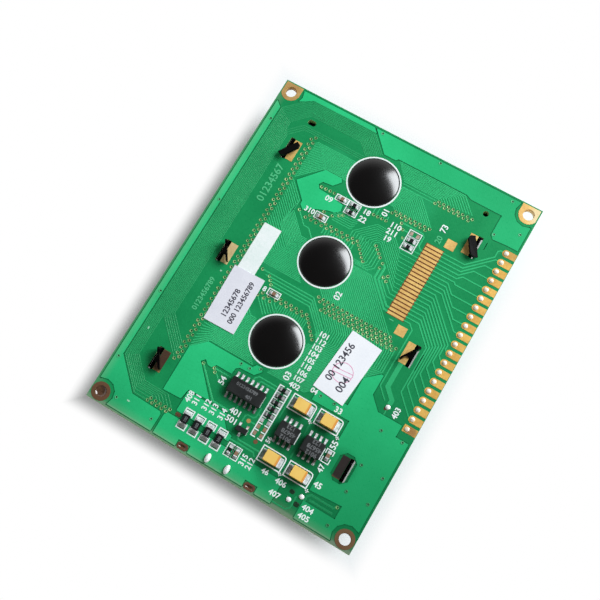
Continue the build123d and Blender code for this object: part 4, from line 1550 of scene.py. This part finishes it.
LONG_TRACES = (
    Fan(
        2,
        (
            (-22.0, -40.2), (-25.7, -40.2), (-32.35, -33.55), (-32.35, 39.2), (-26.95, 44.6),
            (-9.1, 44.6), (-4.7, 40.2),
        ),
        (
            (-21.6, -39.4), (-25.9, -39.4), (-31.97, -33.3), (-31.97, 39.0), (-26.75, 44.2),
            (-9.25, 44.2), (-5.1, 40.0),
        ),
    ),
    Fan(
        6,
        (
            (-21.2, -39.1), (-21.6, -38.7), (-26.0, -38.7), (-31.6, -33.1), (-31.6, 38.7),
            (-26.5, 43.8), (-9.5, 43.8), (-5.6, 39.9),
        ),
        (
            (-16.3, -38.9), (-18.6, -36.6), (-24.95, -36.6), (-29.65, -31.9), (-29.65, 37.55),
            (-25.35, 41.85), (-10.35, 41.85), (-7.1, 38.6),
        ),
    ),
    Fan(
        3,
        ((-22.25, -28.15), (-29.3, -21.1), (-29.3, 37.37), (-25.12, 41.55), (-10.6, 41.55), (-7.4, 38.35)),
        ((-22.2, -26.7), (-28.6, -20.3), (-28.6, 36.95), (-24.7, 40.85), (-10.95, 40.85), (-8.15, 38.05)),
        0.26,
    ),
    Fan(
        3,
        ((-22.2, -26.1), (-28.3, -19.98), (-28.3, 34.6), (-25.15, 37.75), (-8.2, 37.75)),
        ((-22.2, -24.6), (-27.6, -19.2), (-27.6, 33.6), (-24.45, 36.75), (-8.9, 36.75)),
        0.26,
    ),
)
DOME_TRACES = (
    Fan(17, ((-20.5, 24.9), (-15.3, 30.1), (-8.9, 30.1)), ((-20.4, 34.9), (-19.8, 35.5), (-9.3, 35.5))),
    Fan(
        12,
        ((-20.4, 24.2), (-16.3, 20.1), (-16.3, 17.3), (-11.4, 12.4), (-9.7, 12.4)),
        ((-20.4, 15.73), (-17.6, 12.93), (-17.0, 12.33), (-13.0, 8.33), (-9.9, 8.33)),
    ),
    Fan(16, ((-20.4, 14.96), (-13.4, 7.96), (-9.9, 7.96)), ((-20.4, 3.4), (-19.3, 2.3), (-5.6, 2.3))),
    Fan(
        14,
        ((-20.4, -2.0), (-11.8, -10.6), (-10.1, -10.6)),
        ((-20.4, -12.4), (-17.4, -15.4), (-9.4, -15.4)),
    ),
    Fan(
        14,
        ((-20.4, -13.4), (-18.3, -15.8), (-9.2, -15.8)),
        ((-20.4, -24.2), (-16.8, -20.5), (-5.2, -20.5)),
    ),
    Fan(12, ((-0.2, 40.9), (17.4, 40.9), (21.2, 37.1)), ((3.0, 36.95), (12.4, 36.95), (12.7, 36.65))),
    Fan(1, ((3.2, 36.3), (12.2, 36.3)), width=0.26),
    Fan(1, ((3.4, 35.5), (11.8, 35.5)), width=0.26),
    Fan(16, ((3.4, 35.3), (8.6, 35.3), (14.2, 29.6)), ((2.6, 30.0), (4.0, 30.0), (4.7, 29.3))),
    Fan(5, ((0.5, 26.1), (0.5, 28.0)), ((4.3, 26.1), (4.3, 27.2))),
    Fan(28, ((3.0, 12.2), (7.7, 12.2), (18.3, 1.6)), ((-2.0, 3.9), (-1.5, 3.9), (0.8, 1.6))),
    Fan(
        9,
        ((15.3, 20.5), (10.9, 20.5), (7.3, 24.1), (2.9, 24.1), (-1.4, 19.8), (-1.4, 18.4)),
        ((15.3, 12.5), (13.6, 12.5), (5.9, 20.2), (5.1, 20.2), (4.6, 19.7), (4.6, 18.9)),
        0.22,
    ),
    Fan(
        4,
        ((2.9, 12.85), (6.3, 12.85), (7.55, 14.1), (7.55, 16.9)),
        ((2.3, 13.75), (4.6, 13.75), (5.25, 14.4), (5.25, 18.9)),
        0.24,
    ),
    Fan(7, ((4.5, 14.5), (4.5, 18.6)), ((1.2, 17.6), (1.2, 19.6)), 0.22),
    Fan(12, ((-7.6, 17.0), (-7.6, 15.4)), ((0.4, 17.1), (0.4, 15.4))),
    Fan(5, ((-8.0, 22.0), (-2.6, 22.0), (-0.9, 23.7)), ((-7.2, 19.8), (-2.2, 19.8), (-1.8, 20.2)), 0.22),
    Fan(
        30,
        ((21.3, -0.9), (21.3, -2.0), (21.3, -6.9), (8.1, -20.1), (-1.5, -20.3)),
        ((2.0, -1.6), (4.9, -4.5), (4.9, -7.0), (4.4, -9.6), (3.2, -9.8)),
    ),
    Fan(
        4,
        ((-15.0, 0.65), (-1.2, 0.65), (4.75, -5.3), (4.75, -8.4)),
        ((-11.4, -1.75), (-1.0, -1.75), (3.7, -6.45), (3.7, -7.2)),
        0.34,
    ),
    Fan(14, ((-7.3, -4.9), (-7.3, -7.4)), ((0.3, -4.9), (0.3, -7.4))),
    Fan(6, ((-8.4, -4.8), (-8.4, -5.4), (-7.0, -6.8)), ((-12.6, -5.6), (-12.2, -6.2), (-9.4, -9.0))),
)
SINGLE_LINES: dict[float, tuple[tuple[Point, ...], ...]] = {
    0.28: (
        ((-11.9, -26.6), (-11.2, -26.8), (-9.7, -28.3), (-8.0, -28.3)),
    ),
    0.3: (
        ((-15.1, 18.0), (-12.2, 15.1), (-10.9, 15.1), (-9.0, 13.2)),
        ((-3.2, -30.3), (-3.2, -31.7)),
        ((13.6, 22.5), (15.3, 22.5)),
        ((10.2, 21.3), (15.3, 21.5)),
        ((15.3, 11.5), (13.9, 11.5), (11.5, 13.9)),
        ((15.3, 10.5), (13.6, 10.5), (11.6, 12.5)),
        ((15.3, 9.5), (13.3, 9.5), (10.5, 12.3), (10.5, 13.2)),
        ((8.8, 25.9), (10.3, 25.9)),
        ((9.7, 24.1), (10.3, 23.5)),
        ((26.3, -14.0), (26.3, -15.3)),
    ),
    0.32: (
        ((-12.5, -25.75), (-8.0, -25.75)),
    ),
    0.36: (
        ((-3.2, -23.6), (-3.2, -23.0), (-2.4, -22.2), (2.4, -22.2)),
        ((-1.9, -23.6), (-1.5, -23.0), (2.4, -23.0)),
        ((1.7, -28.2), (1.7, -30.7), (1.2, -31.2), (-0.2, -31.2), (-0.6, -31.6), (-0.6, -33.2)),
        ((1.2, -32.3), (2.4, -32.3)),
        ((1.9, -29.9), (2.4, -29.9)),
        ((6.0, -22.0), (6.3, -22.3), (6.3, -28.3)),
        ((13.1, -21.4), (13.1, -34.7)),
        ((18.6, -41.4), (18.6, -44.4), (17.8, -45.2), (14.4, -45.2)),
        ((8.0, 27.4), (13.2, 27.4), (13.95, 26.65), (13.95, 24.2), (14.7, 23.5), (15.3, 23.5)),
    ),
    0.4: (
        ((0.2, -36.5), (0.9, -37.2), (6.4, -37.2)),
        ((-1.0, -38.0), (5.2, -38.0), (6.0, -38.8)),
    ),
    0.45: (
        ((-15.3, -26.1), (-8.8, -32.6), (-4.4, -32.6)),
    ),
    0.52: (
        ((20.6, -42.1), (20.6, -40.2), (21.3, -39.5), (26.9, -39.5), (27.5, -38.9)),
        ((21.5, -40.7), (27.4, -40.7)),
        ((15.3, 7.5), (14.4, 7.5), (9.65, 12.25), (9.65, 15.5), (8.9, 16.1)),
        ((15.3, 6.5), (14.3, 6.5), (8.7, 12.1), (8.7, 14.8)),
    ),
}
SINGLE_TRACES = tuple(Fan(1, line, width=width) for width, lines in SINGLE_LINES.items() for line in lines)
VIA_ROWS = (
    (43, (-21.85, 35.4), (-21.9, -28.55)),
    (43, (-21.0, 36.2), (-21.1, -27.7)),
    (8, (12.8, 36.35), (21.6, 36.35)),
    (8, (12.1, 35.6), (20.9, 35.6)),
    (8, (5.1, 29.15), (14.1, 29.15)),
    (8, (4.5, 28.4), (13.3, 28.4)),
    (4, (0.9, 25.8), (4.2, 25.9)),
    (4, (-13.4, 25.8), (-9.9, 25.9)),
    (9, (-12.2, 18.0), (-0.5, 18.0)),
    (10, (-12.9, 17.1), (0.2, 17.15)),
    (6, (0.9, 18.0), (4.4, 14.2)),
    (4, (5.2, 19.2), (7.5, 17.1)),
    (2, (8.7, 16.1), (8.6, 14.8)),
    (2, (11.3, 13.9), (10.5, 13.2)),
    (2, (-6.1, 21.4), (-5.3, 22.0)),
    (2, (-9.7, 20.5), (-7.5, 20.6)),
    (2, (7.7, 27.2), (8.7, 25.9)),
    (16, (-0.2, 1.35), (18.85, 1.35)),
    (16, (0.6, 0.5), (19.4, 0.5)),
    (16, (2.4, -0.4), (21.3, -0.4)),
    (16, (1.8, -1.2), (20.6, -1.2)),
    (3, (-12.8, -0.1), (-11.4, -1.75)),
    (6, (-7.6, -3.7), (-0.5, -3.8)),
    (7, (-8.5, -4.5), (0.2, -4.55)),
    (5, (0.9, -5.3), (3.6, -8.4)),
    (3, (-12.9, -5.4), (-9.6, -5.4)),
    (2, (-12.1, -4.45), (-10.5, -4.45)),
    (5, (-21.5, -39.4), (-16.3, -39.4)),
    (5, (-22.0, -40.2), (-16.9, -40.2)),
    (2, (-12.5, -25.8), (-11.9, -26.6)),
)
LONE_VIAS = ((11.5, 12.6), (-15.1, 18.0), (9.7, 24.1), (-15.1, 0.65), (-15.3, -26.1), (27.6, -38.9))
STITCHES = (
    (-33.3, 35.3), (-33.3, 10.6), (-33.4, -16.3), (-33.5, -34.8), (-28.6, -43.4), (-18.9, -43.5),
    (-7.4, 45.3), (8.4, 45.3), (27.7, 45.1), (33.0, 38.5), (27.7, 35.5), (27.6, -18.8), (33.0, -18.8),
    (27.6, -27.9), (33.1, -28.1), (27.6, -34.8), (33.1, -34.8), (27.7, -43.4), (-7.7, -21.7),
    (-5.4, -21.7), (-3.1, -20.5), (11.9, -18.9), (15.5, -18.9),
)
BOARD_MARKS = (
    *marks(90, 1.5, ("01", 3.1, 27.7), ("54", -9.4, -27.3), ("55", 20.15, -27.1)),
    *marks(90, 1.6, ("02", 3.5, 3.9), ("03", 3.0, -18.7), ("73", 17.05, 31.0)),
    *marks(
        0, 1.45,
        ("09", -10.3, 24.0), ("18", -0.8, 25.5), ("22", -0.8, 23.4), ("110", 6.9, 25.8),
        ("211", 6.9, 24.0), ("19", 6.6, 22.1), ("33", 17.1, -19.7), ("45", 21.5, -36.8),
    ),
    *marks(
        0, 1.35,
        ("310", -12.9, 19.2), ("101", 5.6, -6.1), ("112", 5.6, -7.8), ("103", 5.6, -9.5),
        ("104", 5.6, -11.2), ("105", 5.6, -12.9), ("118", 5.6, -14.6), ("106", 5.6, -16.4),
        ("107", 5.6, -18.1), ("402", 5.6, -19.9), ("46", 9.8, -40.25),
    ),
    *marks(0, 1.3, ("8", -12.2, -3.3), ("04", 10.1, -18.6)),
    *marks(
        90, 1.4,
        ("47", 20.2, -33.2), ("408", -14.0, -34.4), ("311", -12.15, -34.2), ("312", -9.6, -34.1),
        ("313", -7.6, -34.1), ("314", -5.3, -34.1), ("315", 4.2, -40.6), ("212", 5.95, -40.6),
        ("403", 28.6, -13.6),
    ),
    *marks(90, 1.2, ("56", 6.85, -33.7)),
    *marks(0, 1.5, ("401", -2.9, -32.1), ("501", -2.8, -34.1)),
    *marks(
        0, 1.4,
        ("406", 14.1, -40.6), ("407", 14.1, -43.5), ("404", 22.2, -42.6), ("405", 22.3, -44.6),
    ),
)
FAINT_MARKS = (
    *marks(90, 1.5, ("20", 17.2, 27.9)),
    *marks(90, 1.2, ("1", 17.1, 5.1)),
    *marks(90, 2.0, ("01234567", -24.8, 20.6)),
    *marks(90, 1.4, ("0123456789", -24.2, -11.6)),
)
LOT_MARKS = (
    *marks(91.2, 1.45, ("12345678", -17.35, -10.4)),
    *marks(91.2, 1.4, ("000 123456789", -15.25, -9.2)),
)
CHECK_MARKS = (
    *marks(84.6, 1.8, ("00 123456", 11.75, -9.6)),
    *marks(84.6, 1.9, ("004", 14.9, -14.1)),
)
PACKAGE_ROWS = (("123", -28.9), ("45678", -30.3), ("9012", -31.7))
PACKAGE_MARKS = marks(180, 1.1, *((text, x, y) for x in (10.0, 16.7) for text, y in PACKAGE_ROWS))
DRIVER_MARKS = marks(0, 0.9, ("0123456789", -3.2, -26.3), ("401", -1.9, -27.9))
RESISTOR_MARKS = marks(90, 0.7, *(("100", x, -39.5) for x in RESISTOR_COLUMNS))
PACKAGE_PRINTS = (
    ("left_amplifier_number", "left_amplifier_body", PACKAGE_MARKS),
    ("driver_number", "driver_body", DRIVER_MARKS),
    ("large_resistor_numbers", "large_resistor_bodies", RESISTOR_MARKS),
)
PRINTS = (
    ("printed_numbers", INK, "white_ink", "copper_pours", BOARD_MARKS, 0.02),
    ("etched_numbers", ETCHED, "trace_copper", "circuit_board", FAINT_MARKS, 0.05),
    ("lot_numbers", DARK_INK, "paper_label", "lot_label", LOT_MARKS),
    ("check_numbers", DARK_INK, "paper_label", "check_label", CHECK_MARKS),
    *((name, PACKAGE_INK, "black_moulding", body, rows) for name, body, rows in PACKAGE_PRINTS),
)
PLUS_SIGNS = ((12.9, -25.4), (20.0, -25.4), (12.95, -39.15), (20.0, -39.2))
PLUS_REACH = 0.45
PRINT_LINES = (
    ((1.2, -25.6), (1.2, -28.5)),
    ((12.3, -28.6), (12.3, -31.7)),
    ((18.85, -28.8), (18.85, -31.8)),
    ((1.75, -34.3), (1.75, -35.6)),
    *(((x - PLUS_REACH, y), (x + PLUS_REACH, y)) for x, y in PLUS_SIGNS),
    *(((x, y + PLUS_REACH), (x, y - PLUS_REACH)) for x, y in PLUS_SIGNS),
    ((19.3, -29.6), (19.3, -28.5), (21.1, -28.5), (21.1, -29.6)),
    ((19.3, -30.4), (19.3, -31.7), (21.1, -31.7), (21.1, -30.4)),
)
PRINT_FRAMES = (
    (-9.2, 24.6, -5.8, 26.3),
    (-5.8, 24.4, -2.5, 26.3),
    (-5.8, 22.7, -2.5, 24.6),
    (-11.4, 18.1, -8.0, 20.0),
    (-11.35, -4.2, -8.0, -2.4),
    (10.2, 21.5, 13.5, 23.4),
    (10.2, 23.3, 13.5, 25.3),
    (10.2, 25.2, 13.5, 27.0),
    (-0.6, -41.9, 1.3, -38.6),
    (1.1, -41.9, 3.0, -38.6),
)
FLUX_AND_SHADE_FILMS = (
    # The first fills the near left mounting hole: partly dried flux, partly painted shade standing for the
    # shaded floor seen through it
    Film(-32.5, -44.0, 1.38, 1.38, 0.1, 0.45, 1.0),
    Film(26.1, -13.9, 0.45, 0.35),
    Film(-14.0, -39.4, 0.7, 0.45),
)
DARK_FILMS = (Film(17.3, -41.0, 0.6, 0.5), Film(19.5, -43.0, 0.65, 0.55))
SPECKS = (
    Film(-31.0, -25.4, 0.2, 0.34, -0.03),
    Film(-25.7, -42.6, 0.36, 0.18, -0.05),
    Film(-23.5, -4.7, 0.2, 0.2, -0.02),
)
SOFT_EDGES = {
    0.04: ("tantalum_terminals", "small_resistor_bodies"),
    0.05: (
        "large_resistor_bodies", "ceramic_capacitor_bodies", "driver_leads", "left_amplifier_leads",
        "right_amplifier_leads", "transistor_leads",
    ),
    0.06: ("bezel", "small_resistor_ends"),
    0.07: ("ceramic_capacitor_ends",),
    0.08: ("large_resistor_ends", "front_glass", "rear_glass"),
    0.1: ("transistor_body", "backlight_frame"),
    0.12: ("tantalum_bodies",),
    0.14: ("driver_body", "left_amplifier_body", "right_amplifier_body"),
    0.15: ("contact_strips",),
}


def dress_nodes() -> None:
    """Gives every CAD node the finish of its slot, or its own."""
    slots = {row["node"]: row["material_slot"] for row in frame["record"]["subparts"]}
    for node, thing in frame["nodes"].items():
        thing.data.materials.clear()
        thing.data.materials.append(material_of(NODE_FINISHES.get(node, SLOT_FINISHES[slots[node]])))
    log.info("nodes dressed: %d", len(frame["nodes"]))


def main() -> None:
    """Builds the studio and the module's pieces in order; each piece reports itself."""
    logging.basicConfig(level=logging.INFO, format="%(name)s: %(message)s")
    Studio().build()
    dress_nodes()
    for part in (
        ChipDomes(),
        SolderWork(),
        Fingers(),
        PourOutlines(),
        LandOpening(),
        TraceFields("band_traces", BAND_GREEN, LONG_TRACES),
        TraceFields("field_traces", TRACE_GREEN, DOME_TRACES),
        TraceFields("single_traces", TRACE_GREEN, SINGLE_TRACES),
        Vias(VIA_ROWS, LONE_VIAS, STITCHES),
        *(PrintedNumbers(*print_row) for print_row in PRINTS),
        PrintedLines(PRINT_LINES, PRINT_FRAMES),
        StampRing(),
        FluxAndShadeFilms("flux_and_shade_films", FLUX_AND_SHADE_BROWN, FLUX_AND_SHADE_FILMS, in_slots=True),
        FluxAndShadeFilms("dark_films", DARK_FLUX, DARK_FILMS),
        FluxAndShadeFilms("pale_specks", PALE_RESIDUE, SPECKS),
        HoleBarrels(),
        SlotHighlights(),
        SoftEdges(SOFT_EDGES),
    ):
        part.build()


if __name__ == "__main__":
    main()
